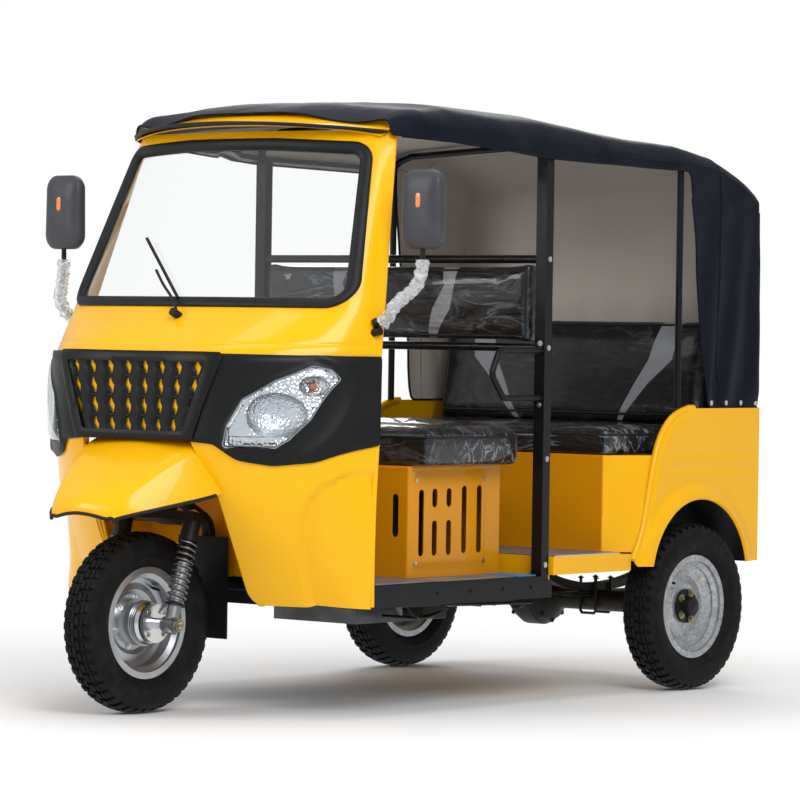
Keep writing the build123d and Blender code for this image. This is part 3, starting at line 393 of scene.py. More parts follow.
GROOVE_Z = 1.108             # joint between the nose panel and the scuttle above it
CREASE = [(0.612, 0.745), (0.575, 0.725), (0.535, 0.690), (0.500, 0.645), (0.474, 0.580), (0.457, 0.500),
          (0.450, 0.410), (0.448, 0.345)]
CREASE_DEEP = 0.021


def pressed(points):
    """How deep the skin is pressed in: a panel joint right across and a curved crease on each leg."""
    x, z = np.abs(points[:, 0]), points[:, 2]
    joint = 0.0035 * np.exp(-((z - GROOVE_Z) / 0.0028) ** 2)
    line = np.array(CREASE)
    off = (x - np.interp(z, line[::-1, 1], line[::-1, 0])) * 0.85
    step = np.clip(off / 0.012, 0, 1)
    step = step * step * (3 - 2 * step) * np.clip(1 - off / 0.15, 0, 1)
    return joint + CREASE_DEEP * step * np.clip((CREASE[0][1] - z) / 0.03, 0, 1)


def final_mesh(piece):
    """A plain mesh of a piece as its modifiers leave it."""
    return bpy.data.meshes.new_from_object(piece.evaluated_get(bpy.context.evaluated_depsgraph_get()))


def settle(piece, angle=None):
    """Applies a piece's modifiers, and leaves a plain mesh; angle in degrees keeps sharp edges sharp."""
    plain = final_mesh(piece)
    piece.modifiers.clear()
    piece.data = plain
    if angle is not None:
        plain.polygons.foreach_set("use_smooth", [True] * len(plain.polygons))
        plain.set_sharp_from_angle(angle=math.radians(angle))
    return piece


def thicken(piece, thickness, offset=-1.0, angle=45):
    """Gives a sheet its thickness, as plain mesh."""
    solid = piece.modifiers.new("thickness", "SOLIDIFY")
    solid.thickness, solid.offset = thickness, offset
    return settle(piece, angle)


def fitted(piece, slot, *nodes, body="body"):
    """Rides a piece on a body and hides the CAD nodes it stands for; slot is not used."""
    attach(piece, body)
    if nodes:
        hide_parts(*nodes)
    return piece


groove_rows = [GROOVE_Z + d for d in (-0.009, -0.005, -0.0025, 0.0, 0.0025, 0.005, 0.009)]
lamp_holes = [lamp_hole, [(-x, z) for x, z in reversed(lamp_hole)]]
holes = [flattened(rounded(SCREEN, 8))] + [flattened(hole, 0.008) for hole in lamp_holes]
spots, faces = filled(flattened(cab_outline), holes, 0.0145, groove_rows)
t, z = spots[:, 0] / SPREAD, spots[:, 1]
cab_skin = mesh_piece("cab_skin", raised(t, z, -pressed(skin_at(t, z))), faces, cab_yellow)
fitted(thicken(cab_skin, CAB_WALL, angle=50), "yellow_paint", "cab_shell")

# ---------------------------------------------------------------- windscreen
# A flat pane of laminated glass held in a thick extruded rubber that clips over the edge
# of the opening; the rubber has a rounded outer lip and a slope down to the pane.


def clouded(name, dark, light, scale, detail=4.0, **sockets):
    """A finish whose tone drifts: the material, its tree, its shader, its coordinates and its noise."""
    made, tree, shader = new_finish(name, **sockets)
    place = add_node(tree, "TexCoord").outputs["Object"]
    cloud = add_node(tree, "TexNoise", {"Vector": place, "Scale": scale, "Detail": detail})
    tone = add_node(tree, "Mix", {"Factor": cloud, "A": linear(dark), "B": linear(light)}, data_type="RGBA")
    plug(shader, {"Base Color": tone})
    return made, tree, shader, place, cloud


moulded_rubber, tree, shader, place, bloom = clouded("extruded_rubber", "#0D0E10", "#1D1F22", 14.0, 3.0,
                                                     Specular_IOR_Level=0.22)
plug(shader, {"Roughness": add_node(tree, "MapRange", {0: bloom, 3: 0.38, 4: 0.62})})

# Across the rubber: how far inside the opening's edge, and how far out from the skin.
RUBBER_LINE = [(-0.007, 0.000), (-0.007, 0.005), (-0.003, 0.0095), (0.003, 0.011), (0.011, 0.0105),
               (0.018, 0.0075), (0.024, 0.001), (0.0255, -0.006), (0.0255, -0.014), (0.002, -0.020),
               (-0.004, -0.020)]


def grid_faces(rows, columns, loop=False, ring=False, first=0):
    """Faces over rows of points; loop closes each row, and ring joins the last row to the first."""
    def corner(r, c):
        return first + r % rows * columns + c % columns
    return [(corner(r, c), corner(r, c + 1), corner(r + 1, c + 1), corner(r + 1, c))
            for r in range(rows if ring else rows - 1) for c in range(columns if loop else columns - 1)]


def swept_round(name, outline, line, finish):
    """A bead of one cross section that runs round a closed outline on the skin."""
    outline = [Vector(p) for p in outline]
    ways = [(outline[(k + 1) % len(outline)] - outline[k - 1]).normalized() for k in range(len(outline))]
    rows = [on_skin([p.x - way.y * inn for p, way in zip(outline, ways)],
                    [p.y + way.x * inn for p, way in zip(outline, ways)], out) for inn, out in line]
    points = np.stack(rows, axis=1).reshape(-1, 3)
    return mesh_piece(name, points, grid_faces(len(outline), len(line), loop=True, ring=True), finish)


@contextmanager
def opened(piece):
    """A piece's mesh opened for editing, and written back afterwards."""
    shape = bmesh.new()
    shape.from_mesh(piece.data)
    yield shape
    shape.to_mesh(piece.data)
    shape.free()


def facing_out(piece):
    """Turns all faces of a closed mesh outwards, after its doubles are merged."""
    with opened(piece) as shape:
        bmesh.ops.remove_doubles(shape, verts=shape.verts, dist=1e-5)
        bmesh.ops.recalc_face_normals(shape, faces=shape.faces)
    return piece


screen_line = divided(rounded(SCREEN, 10), 0.03)
rubber_ring = facing_out(swept_round("windscreen_rubber", screen_line, RUBBER_LINE, moulded_rubber))
fitted(rubber_ring, "rubber", "windscreen_seal")

screen_glass, tree, shader = new_finish("laminated_glass", Base_Color=linear("#FBFDFD"), Roughness=0.01,
                                        Transmission_Weight=1.0, IOR=1.45)
PANE_IN, PANE_THICK = 0.008, 0.005
PANE_MIDDLE_Z = (GLASS_LOW_Z + GLASS_HIGH_Z) / 2
pane_line = [(x * 0.978, PANE_MIDDLE_Z + (z - PANE_MIDDLE_Z) * 0.962) for x, z in rounded(SCREEN, 12)]
spots, faces = filled(flattened(pane_line, 0.012), (), 0.03)
pane = mesh_piece("windscreen_pane", raised(spots[:, 0] / SPREAD, spots[:, 1], -PANE_IN), faces, screen_glass)
fitted(thicken(pane, PANE_THICK), "glass", "windscreen_glass")

# ---------------------------------------------------------------- rolled edges
# The two skins are joined by a rolled bead down each door edge and round the wheel arch,
# sprayed with the cab; it catches the light as one bright line.


def group_tree(name, *inputs):
    """A geometry tree with named inputs (name, socket type, value): returns it and its input node."""
    tree = bpy.data.node_groups.new(name, "GeometryNodeTree")
    tree.interface.new_socket("Geometry", in_out="INPUT", socket_type="NodeSocketGeometry")
    for label, kind, value in inputs:
        socket = tree.interface.new_socket(label, in_out="INPUT", socket_type="NodeSocket" + kind)
        if value is not None:
            socket.default_value = value
    tree.interface.new_socket("Geometry", in_out="OUTPUT", socket_type="NodeSocketGeometry")
    return tree, tree.nodes.new("NodeGroupInput")


def close_tree(tree, shape, given):
    """Ends a geometry tree: its instances become real and take their material."""
    real = add_node(tree, "GeometryNodeRealizeInstances", {"Geometry": shape})
    painted = add_node(tree, "GeometryNodeSetMaterial",
                       {"Geometry": real, "Material": given.outputs["Finish"]})
    add_node(tree, "NodeGroupOutput", {"Geometry": painted})


def grown(name, base, tree, **values):
    """A plain mesh made by a geometry tree from a base piece, which goes."""
    maker = base.modifiers.new("maker", "NODES")
    maker.node_group = tree
    known = {item.name: item.identifier for item in tree.interface.items_tree if item.in_out == "INPUT"}
    for label, value in values.items():
        maker[known[label.replace("_", " ")]] = value
    mesh = final_mesh(base)
    bpy.data.objects.remove(base)
    return linked(name, mesh)


bar_tree, given = group_tree("round_bar", ("Radius", "Float", 0.01), ("Sides", "Int", 12),
                             ("Finish", "Material", None))
lines = add_node(bar_tree, "GeometryNodeMeshToCurve", {0: given.outputs["Geometry"]})
ring = add_node(bar_tree, "GeometryNodeCurvePrimitiveCircle",
                {"Radius": given.outputs["Radius"], "Resolution": given.outputs["Sides"]})
tube = add_node(bar_tree, "GeometryNodeCurveToMesh",
                {"Curve": lines, "Profile Curve": ring, "Fill Caps": True})
smooth = add_node(bar_tree, "GeometryNodeSetShadeSmooth", {0: tube})
close_tree(bar_tree, smooth, given)


def round_bars(name, paths, radius, finish, closed=False, sides=12):
    """Round bars along paths of points."""
    points, edges = [], []
    for path in paths:
        first = len(points)
        points += [tuple(map(float, p)) for p in path]
        edges += [(first + k, first + k + 1) for k in range(len(path) - 1)]
        if closed:
            edges.append((len(points) - 1, first))
    mesh = bpy.data.meshes.new(name)
    mesh.from_pydata(points, edges, [])
    return grown(name, linked(name, mesh), bar_tree, Radius=radius, Sides=sides, Finish=finish)


def eased(points, count):
    """Points evenly spread along a smooth line through the points given."""
    points = np.array(points, float)
    along = np.concatenate([[0], np.cumsum(np.linalg.norm(np.diff(points, axis=0), axis=1))])
    at = np.linspace(0, along[-1], count)
    return np.stack([spline_through(along, column, at) for column in points.T], axis=1)


EDGE_ROLL = 0.0095
edge_z = np.linspace(SILL_Z + 0.006, CAB_TOP_Z - 0.004, 120)
door_edges = [raised(np.full_like(edge_z, side), edge_z, -CAB_WALL / 2 + 0.001) + [0, 0.003, 0]
              for side in (1, -1)]
arch_line = [p for p in divided(cab_outline[1:-3], 0.012) if abs(p[0]) < 0.42 and p[1] < 0.80
             and (p[1] > SILL_Z + 0.002 or abs(p[0]) > ARCH_HALF)]
arch_halves = [[p for p in arch_line if p[0] * side > 0] for side in (-1, 1)]
arch_edges = [on_skin(*zip(*half), -CAB_WALL / 2)[1:-1] for half in arch_halves]
fitted(round_bars("door_edge_rolls", door_edges, EDGE_ROLL, cab_yellow, sides=16), "yellow_paint")
fitted(round_bars("arch_edge_rolls", arch_edges, EDGE_ROLL, cab_yellow, sides=12), "yellow_paint")

# ---------------------------------------------------------------- mask and grille
# A black moulded mask across the nose holds both lamps and the grille; it has a satin
# grain, a raised ridge outside each lamp and a proud frame round the wavy grille slats.


def moulded_plastic(name, tone, light, gloss):
    """Injection moulded plastic: dark, satin, with a fine spark-eroded grain."""
    made, tree, shader, place, _ = clouded(name, tone, light, 9.0, Roughness=gloss, Specular_IOR_Level=0.2)
    # The grain is 0.3 mm on the real part; it is drawn 1.5 mm so that it shows.
    grain = add_node(tree, "TexVoronoi", {"Vector": place, "Scale": 650.0})
    plug(shader, {"Normal": add_node(tree, "Bump", {"Height": grain, "Strength": 0.10, "Distance": 0.0005})})
    return made


mask_plastic = moulded_plastic("grained_black_plastic", "#0A0B0B", "#141514", 0.42)
MASK_OUT = 0.013
GRILLE_TOP_HALF, GRILLE_LOW_HALF = 0.296, 0.212
GRILLE_TOP_Z, GRILLE_LOW_Z = MASK_HIGH_Z - 0.012, MASK_LOW_Z + 0.016
RIDGE = [(0.520, 1.085), (0.560, 1.060), (0.585, 1.020), (0.592, 0.961), (0.577, 0.887), (0.545, 0.820),
         (0.500, 0.775)]


def off_line(points, line):
    """Distance of flat points from a line of points."""
    points, line = np.asarray(points, float), np.asarray(line, float)
    nearest = np.full(len(points), 9.0)
    for a, b in zip(line, line[1:]):
        run = b - a
        share = np.clip(((points - a) @ run) / (run @ run), 0, 1)
        nearest = np.minimum(nearest, np.linalg.norm(points - a - share[:, None] * run, axis=1))
    return nearest


half_mask = [(GRILLE_LOW_HALF, MASK_LOW_Z + 0.004, 0.012), (0.296, 0.812, 0.030), (0.352, 0.766, 0.060),
             (0.437, 0.750, 0.080), (0.530, 0.762, 0.080), (0.622, 0.812, 0.0), (0.650, 0.830, 0.0),
             (0.650, MASK_HIGH_Z - 0.003, 0.0)]
mask_outline = rounded(half_mask + [(-x, z, r) for x, z, r in reversed(half_mask)], 5)
grille_hole = [(GRILLE_LOW_HALF, GRILLE_LOW_Z), (GRILLE_TOP_HALF, GRILLE_TOP_Z),
               (-GRILLE_TOP_HALF, GRILLE_TOP_Z), (-GRILLE_LOW_HALF, GRILLE_LOW_Z)]
holes = [flattened(hole, 0.006) for hole in lamp_holes] + [flattened(grille_hole, 0.012)]
spots, faces = filled(flattened(mask_outline, 0.009), holes, 0.0085)
t, z = spots[:, 0] / SPREAD, spots[:, 1]
flat = np.stack([np.abs(skin_at(t, z)[:, 0]), z], axis=1)
ridge = off_line(flat, eased(RIDGE, 40))
lamp_gap = off_line(flat, lamp_hole + lamp_hole[:1])
rim_gap = off_line(flat, mask_outline + mask_outline[:1])
height = MASK_OUT + 0.0075 * np.exp(-(ridge / 0.013) ** 2) + 0.005 * np.exp(-(lamp_gap / 0.006) ** 2)
height -= 0.006 * np.exp(-(rim_gap / 0.007) ** 2)
mask = mesh_piece("nose_mask", raised(t, z, height), faces, mask_plastic)
fitted(thicken(mask, 0.0135, angle=55), "black_plastic", "front_mask")

FRAME_OUT = 0.0225


def grille_loop(low_out, low_up, top_out, top_up, corner):
    """A rounded outline round the grille's opening, moved outwards and upwards from its corners."""
    half = [(GRILLE_LOW_HALF + low_out, GRILLE_LOW_Z + low_up, corner),
            (GRILLE_TOP_HALF + top_out, GRILLE_TOP_Z + top_up, corner)]
    return rounded(half + [(-x, z, r) for x, z, r in reversed(half)], 3)


frame_in = grille_loop(-0.010, 0.016, -0.018, -0.014, 0.008)
frame_out = grille_loop(0.022, -0.010, 0.030, 0.008, 0.010)
spots, faces = filled(divided(frame_out, 0.012), [divided(frame_in, 0.012)], 0.012)
edge_gap = np.minimum(off_line(spots, frame_in + frame_in[:1]), off_line(spots, frame_out + frame_out[:1]))
frame_points = on_skin(spots[:, 0], spots[:, 1], FRAME_OUT - 0.004 * np.exp(-(edge_gap / 0.003) ** 2))
frame_piece = mesh_piece("grille_frame", frame_points, faces, mask_plastic)
fitted(thicken(frame_piece, 0.018, angle=50), "black_plastic")

# Slats: each is a wavy upright bar with four bulges, fanned a little wider at the top.
SLAT_COUNT, SLAT_PITCH, SLAT_WIDE, SLAT_WAVE, SLAT_BULGES = 9, 0.0715, 0.0235, 0.0095, 4
row_tree, given = group_tree("row_of_copies", ("Count", "Int", 9), ("Step", "Vector", (0.01, 0, 0)),
                             ("Finish", "Material", None))
row = add_node(row_tree, "GeometryNodeMeshLine",
               {"Count": given.outputs["Count"], "Offset": given.outputs["Step"]})
copies = add_node(row_tree, "GeometryNodeInstanceOnPoints",
                  {"Points": row, "Instance": given.outputs["Geometry"]})
close_tree(row_tree, copies, given)


def read_table(piece, what="co"):
    """A mesh's points, or their normals, as a table."""
    values = np.empty(len(piece.data.vertices) * 3)
    piece.data.vertices.foreach_get(what, values)
    return values.reshape(-1, 3)


def moved(piece, matrix):
    """Moves a piece within its own mesh."""
    piece.data.transform(matrix)
    return piece


across, tall = np.linspace(-1, 1, 9), np.linspace(0, 1, 57)[:, None]
wave = SLAT_WIDE + SLAT_WAVE * np.abs(np.cos(np.pi * SLAT_BULGES * tall)) ** 0.7
slat_x = across * wave + 0.0035 * np.sin(2 * np.pi * SLAT_BULGES * tall)
slat_y = -0.011 * (1 - across ** 2) ** 0.5 * np.ones_like(slat_x)
slat_z = GRILLE_LOW_Z + (GRILLE_TOP_Z - GRILLE_LOW_Z) * np.broadcast_to(tall, slat_x.shape)
points = np.stack([slat_x, slat_y, slat_z], axis=-1).reshape(-1, 3)
one_slat = mesh_piece("slat", points, grid_faces(len(tall), len(across)), mask_plastic)
moved(one_slat, Matrix.Translation((-SLAT_PITCH * (SLAT_COUNT - 1) / 2, 0, 0)))
slats = grown("grille_slats", one_slat, row_tree, Count=SLAT_COUNT, Step=(SLAT_PITCH, 0.0, 0.0),
              Finish=mask_plastic)


def opening_half(z):
    """Half the grille opening's width at a height."""
    return np.interp(z, [GRILLE_LOW_Z, GRILLE_TOP_Z], [GRILLE_LOW_HALF, GRILLE_TOP_HALF])


spots = read_table(slats)
up = (spots[:, 2] - GRILLE_LOW_Z) / (GRILLE_TOP_Z - GRILLE_LOW_Z)
limit = opening_half(spots[:, 2]) - 0.004
x = np.clip(spots[:, 0] * (0.86 + 0.14 * up), -limit, limit)
slats.data.vertices.foreach_set("co", on_skin(x, spots[:, 2], 0.004 - spots[:, 1]).ravel())
fitted(thicken(slats, 0.003), "black_plastic", "grille")

bridges = []
for z in (0.889, 0.948, 1.007):
    across = np.linspace(0.022 - opening_half(z), opening_half(z) - 0.022, 40)
    bridges.append(on_skin(across, np.full_like(across, z), 0.0030))
fitted(round_bars("grille_bridges", bridges, 0.0062, mask_plastic, sides=8), "black_plastic")

# ---------------------------------------------------------------- headlamps
# Each lamp is a chromed plastic bowl with a round main reflector and a small turn pod,
# a fluted strip along its foot, and a clear domed lens in a thin smoked rim.
chrome, tree, shader = new_finish("chromed_plastic", Base_Color=linear("#CDD1D5"), Metallic=1.0)
place = add_node(tree, "TexCoord").outputs["Object"]
haze = add_node(tree, "TexNoise", {"Vector": place, "Scale": 40.0, "Detail": 2.0})
dull = add_node(tree, "MapRange", {0: haze, 3: 0.06, 4: 0.24})
# Optic facets moulded in the reflector, 9 mm across.
facets = add_node(tree, "TexVoronoi", {"Vector": place, "Scale": 110.0})
cut = add_node(tree, "Bump", {"Height": facets, "Strength": 0.6, "Distance": 0.004})
plug(shader, {"Roughness": dull, "Normal": cut})
clear_lens, tree, shader = new_finish("clear_polycarbonate", Base_Color=linear("#F4F7F9"), Roughness=0.02,
                                      Transmission_Weight=1.0, IOR=1.5)
smoked, tree, shader = new_finish("smoked_polycarbonate", Base_Color=linear("#8A9096"), Roughness=0.12,
                                  IOR=1.5)
amber, tree, shader = new_finish("amber_bulb_glass", Base_Color=linear("#D4661A"), Roughness=0.15, IOR=1.5)

# Reflectors.  Columns: x, z, radius, depth, number of flutes.
REFLECTORS = [(0.449, 0.898, 0.066, 0.052, 28), (0.527, 0.985, 0.030, 0.026, 14)]
BEZEL_IN, STRIP_TOP_Z, LENS_OUT, LENS_DOME = 0.002, 0.836, 0.014, 0.013


def bowl_depth(points):
    """How deep the bowl lies behind the skin at each flat point."""
    deep = np.full(len(points), BEZEL_IN)
    for mid_x, mid_z, radius, depth, flutes in REFLECTORS:
        dx, dz = points[:, 0] - mid_x, points[:, 1] - mid_z
        reach = np.hypot(dx, dz) / radius
        flute = 0.0016 * np.abs(np.sin(np.arctan2(dz, dx) * flutes / 2)) * reach
        deep = np.where(reach < 1, BEZEL_IN + depth * np.sqrt(np.clip(1 - reach ** 2, 0, 1)) - flute, deep)
    strip = points[:, 1] < STRIP_TOP_Z
    comb = BEZEL_IN + 0.006 + 0.003 * np.abs(np.sin(points[:, 0] * math.pi / 0.010))
    return np.where(strip, comb, deep)


SIDES = ((1, "left"), (-1, "right"))
spots, faces = filled(divided(lamp_hole, 0.005), (), 0.0035)
edge_gap = off_line(spots, lamp_hole + lamp_hole[:1])
depths = bowl_depth(spots) * np.clip(edge_gap / 0.004, 0.0, 1.0)
lens_heights = LENS_OUT + LENS_DOME * (1 - np.exp(-edge_gap / 0.014))
for side, word in SIDES:
    order = faces[:, ::side]
    x, z = spots.T * [[side], [1]]
    bowl = mesh_piece("lamp_bowl_" + word, on_skin(x, z, -depths), order, chrome)
    fitted(thicken(bowl, 0.002), "polished_alloy")
    lens = mesh_piece("lamp_lens_" + word, on_skin(x, z, lens_heights), order, clear_lens)
    fitted(thicken(lens, 0.0025), "lamp_glass", *(["headlamps"] if side > 0 else []))
    ring_path = on_skin([side * p[0] for p in lamp_hole], [p[1] for p in lamp_hole], 0.013)
    rim_ring = round_bars("lamp_rim_" + word, [ring_path], 0.0045, smoked, closed=True, sides=8)
    fitted(rim_ring, "polished_alloy")
    bulbs = zip(REFLECTORS, ("main_bulb_", "turn_bulb_"), (clear_lens, amber), (0.011, 0.009))
    for (mid_x, mid_z, radius, depth, flutes), bulb_name, finish, size in bulbs:
        bulb = mesh_piece(bulb_name + word, [], [], finish)
        spot = on_skin([side * mid_x], [mid_z], -depth * 0.45)[0]
        with opened(bulb) as ball:
            bmesh.ops.create_uvsphere(ball, u_segments=20, v_segments=12, radius=size)
            bmesh.ops.scale(ball, vec=(1, 1.6, 1), verts=ball.verts)
            bmesh.ops.translate(ball, vec=spot, verts=ball.verts)
        bulb.data.polygons.foreach_set("use_smooth", [True] * len(bulb.data.polygons))
        fitted(bulb, "lamp_glass")

# ---------------------------------------------------------------- nose fender
# A pressed steel beak over the front wheel, bolted under the mask and sprayed with the
# cab: broad rounded top, turned-down sides and tip, and a black rubber strip on its rim.
# Columns: behind the nose, half width at the top, top height, half width and height at the rim.
FENDER = [(0.070, 0.232, 0.824, 0.286, 0.666), (0.010, 0.222, 0.806, 0.274, 0.650),
          (-0.055, 0.198, 0.768, 0.243, 0.636), (-0.120, 0.172, 0.722, 0.208, 0.620),
          (-0.190, 0.142, 0.668, 0.170, 0.604), (-0.238, 0.118, 0.634, 0.140, 0.593)]
FENDER_TIP = (-0.252, 0.104, 0.606, 0.128, 0.588)
FENDER_CROWN, FENDER_WALL = 0.012, 0.003
cage = []
for back, top_half, top_z, rim_half, rim_z in FENDER + [FENDER_TIP]:
    half = [(-rim_half, rim_z), (-(top_half + rim_half) / 2 - 0.004, (top_z + rim_z) / 2 + 0.004),
            (-top_half, top_z), (-top_half * 0.5, top_z + FENDER_CROWN)]
    line = half + [(0.0, top_z + FENDER_CROWN * 1.4)] + [(-x, z) for x, z in reversed(half)]
    bowed = 0.022 if back < -0.2 else 0
    cage.append([(x, NOSE_Y + back + bowed * (x / rim_half) ** 2, z) for x, z in line])
cage.append([(x, y + 0.002, z - 0.018 if abs(x) < 0.11 else z - 0.006) for x, y, z in cage[-1]])
width = len(cage[0])
faces = [face[::-1] for face in grid_faces(len(cage), width)]
fender = mesh_piece("nose_beak", [p for row in cage for p in row], faces, cab_yellow)
with opened(fender) as shape:
    crease = shape.edges.layers.float.new("crease_edge")
    for edge in shape.edges:
        ends = sorted(v.index for v in edge.verts)
        fold = ends[1] - ends[0] == width and ends[0] % width in (2, 6)
        edge[crease] = 1.0 if edge.is_boundary else 0.32 if fold else 0.0


def smoothed(piece, levels, angle=None):
    """Rounds a coarse cage into a smooth skin, as plain mesh."""
    finer = piece.modifiers.new("finer", "SUBSURF")
    finer.levels = finer.render_levels = levels
    return settle(piece, angle)


def open_rims(piece, first):
    """A sheet's open edges as lines of points; each line starts at its point with the least `first`."""
    shape = bmesh.new()
    shape.from_mesh(piece.data)
    rims, unseen = [], {v for v in shape.verts if v.is_boundary}
    while unseen:
        here, line = min(unseen, key=first), []
        while here is not None:
            unseen.discard(here)
            line.append(here.co.copy())
            ahead = [e.other_vert(here) for e in here.link_edges if e.is_boundary]
            here = next((vert for vert in ahead if vert in unseen), None)
        rims.append(line)
    shape.free()
    return rims


smoothed(fender, 4)
rim = open_rims(fender, lambda v: v.co.x - v.co.y * 2)[0]
low_rim = [p for p in rim if p.y < NOSE_Y + 0.045 and p.z < 0.700]
breaks = max(range(len(low_rim) - 1), key=lambda k: (low_rim[k + 1] - low_rim[k]).length)
if (low_rim[breaks + 1] - low_rim[breaks]).length > 0.05:
    low_rim = low_rim[breaks + 1:] + low_rim[:breaks + 1]
fitted(thicken(fender, FENDER_WALL), "yellow_paint", "nose_fender")
fitted(round_bars("fender_rim_strip", [low_rim], 0.0055, moulded_rubber, sides=8), "rubber")

# ---------------------------------------------------------------- visor and roof header
# A bowed steel brim over the windscreen with a black rubber lip on its front edge, and
# behind it the yellow header that carries the front edge of the hood.
VISOR_HALF, VISOR_RISE, VISOR_BASE_Z = 0.515, 0.026, 1.7495
VISOR_FRONT, VISOR_END, VISOR_REAR = 0.328, 0.525, 0.570
across, bow = np.linspace(-1, 1, 61), 1 - np.linspace(-1, 1, 61) ** 2
front_y = NOSE_Y + VISOR_END + (VISOR_FRONT - VISOR_END) * bow ** 0.85
rows = []
for share in np.linspace(0, 1, 13):
    y = front_y + (NOSE_Y + VISOR_REAR - front_y) * share
    rise = 0.006 + 0.008 * math.sin(math.pi * min(1, share * 1.2)) - 0.004 * (1 - share)
    rows.append(np.stack([across * VISOR_HALF, y, VISOR_BASE_Z + VISOR_RISE * bow + rise], axis=1))
points, faces = np.concatenate(rows), grid_faces(len(rows), len(across))
brim = mesh_piece("brim", points, faces, cab_yellow)
fitted(thicken(brim, 0.005, angle=50), "yellow_paint", "visor")
# Painted shade: a dark brown sheet just under the yellow brim stands in for the shade on its underside.
brim_shade_paint = moulded_plastic("brim_shade_sheet_paint", "#1F150A", "#2C1F0E", 0.7)
lining = mesh_piece("brim_shade_sheet", points - [0, 0, 0.0062], faces, brim_shade_paint)
fitted(thicken(lining, 0.0012, angle=50), "yellow_paint")
brim_edge = rows[0] - [0, 0.001, 0.0025]
fitted(round_bars("brim_lip", [brim_edge], 0.006, moulded_rubber, sides=10), "rubber")

# Header.  Columns: behind the nose, rise over the brim's foot, half width, how far its ends lie back.
HEADER = [(0.395, 0.000, 0.504, 0.115), (0.455, 0.030, 0.508, 0.115), (0.520, 0.046, 0.512, 0.05),
          (0.600, 0.050, 0.514, 0.0)]
rows = []
for back, rise, half, ends_back in HEADER:
    z = VISOR_BASE_Z + rise + (VISOR_RISE - 0.004) * bow - 0.012 * np.abs(across) ** 6
    rows.append(np.stack([across * half, NOSE_Y + back + ends_back * across ** 2, z], axis=1))
header = mesh_piece("roof_header", np.concatenate(rows), grid_faces(len(rows), len(across)), cab_yellow)
fitted(thicken(header, 0.004, angle=60), "yellow_paint")

# ---------------------------------------------------------------- wiper
# One short wiper parked low on the pane: a cast pivot on the scuttle, a sprung steel arm
# and a rubber blade in a pressed holder, all painted black.
black_paint = moulded_plastic("satin_black_paint", "#101113", "#1B1C1F", 0.34)


def skin_spot(x, z, out):
    """One point over the skin."""
    return Vector(on_skin([x], [z], out)[0])


pivot = skin_spot(0.030, 1.186, 0.006)
arm = [pivot, skin_spot(0.012, 1.202, 0.022), skin_spot(-0.060, 1.262, 0.026),
       skin_spot(-0.130, 1.318, 0.020)]
blade_ends = [skin_spot(-0.235, 1.420, 0.010), skin_spot(-0.010, 1.236, 0.010)]
blade = [blade_ends[0].lerp(blade_ends[1], k / 8) for k in range(9)]
stub = [pivot + Vector((0, 0.012, -0.006)), pivot + Vector((0, -0.022, 0.010))]
fitted(round_bars("wiper_arm", [eased(arm, 14)], 0.0045, black_paint, sides=8), "black_steel")
fitted(round_bars("wiper_blade", [blade], 0.0055, moulded_rubber, sides=6), "rubber")
fitted(round_bars("wiper_pivot", [stub], 0.013, black_paint, sides=16), "black_steel")

# ---------------------------------------------------------------- mirrors
# A moulded black housing with a domed back and an orange reflector, on a bent steel arm;
# the near arm is still wrapped in the clear film that it was packed in.
MIRROR_Z, MIRROR_HALF, MIRROR_TALL, MIRROR_DEEP = 1.512, 0.076, 0.117, 0.022
MIRROR_Y = NOSE_Y + 0.430
mirror_glass, tree, shader = new_finish("silvered_glass", Base_Color=linear("#DDE3E6"), Metallic=1.0,
                                        Roughness=0.02)
reflector, tree, shader = new_finish("amber_reflector", Base_Color=linear("#E8791C"), Roughness=0.18,
                                     Coat_Weight=0.6, IOR=1.5)
cells = add_node(tree, "TexVoronoi", {"Vector": add_node(tree, "TexCoord").outputs["Object"], "Scale": 320.0})
plug(shader, {"Normal": add_node(tree, "Bump", {"Height": cells, "Strength": 0.5, "Distance": 0.001})})
packing_film, tree, shader, place, folds = clouded("crumpled_clear_film", "#9AA0A6", "#FFFFFF", 38.0, 3.0,
                                                   Roughness=0.12, Specular_IOR_Level=0.8, Coat_Weight=0.5,
                                                   Alpha=0.62)
plug(folds, {"Distortion": 1.8})
plug(shader, {"Normal": add_node(tree, "Bump", {"Height": folds, "Strength": 1.0, "Distance": 0.012})})
mirror_plastic = moulded_plastic("mirror_housing_plastic", "#313235", "#4A4B4F", 0.36)


def pillow(name, middle, half_x, half_z, front, back, corner, finish, steps=7):
    """A rounded oblong body: a flat face at the back and a domed one in front (towards -Y)."""
    outline = rounded([(-half_x, -half_z, corner), (half_x, -half_z, corner),
                       (half_x * 0.94, half_z, corner), (-half_x * 0.94, half_z, corner)], steps)
    levels = [(0.93, back), (1.0, back * 0.6), (1.0, 0.0)]
    levels += [(math.cos(a), -front * math.sin(a)) for a in np.linspace(0.15, 1.40, 9)]
    points = [(middle[0] + x * (0.35 + 0.65 * s), middle[1] + y, middle[2] + z * (0.35 + 0.65 * s))
              for s, y in levels for x, z in outline]
    count, last = len(outline), len(outline) * (len(levels) - 1)
    faces = grid_faces(len(levels), count, loop=True)
    faces += [tuple(range(count))[::-1], tuple(range(last, last + count))]
    return facing_out(mesh_piece(name, points, faces, finish))


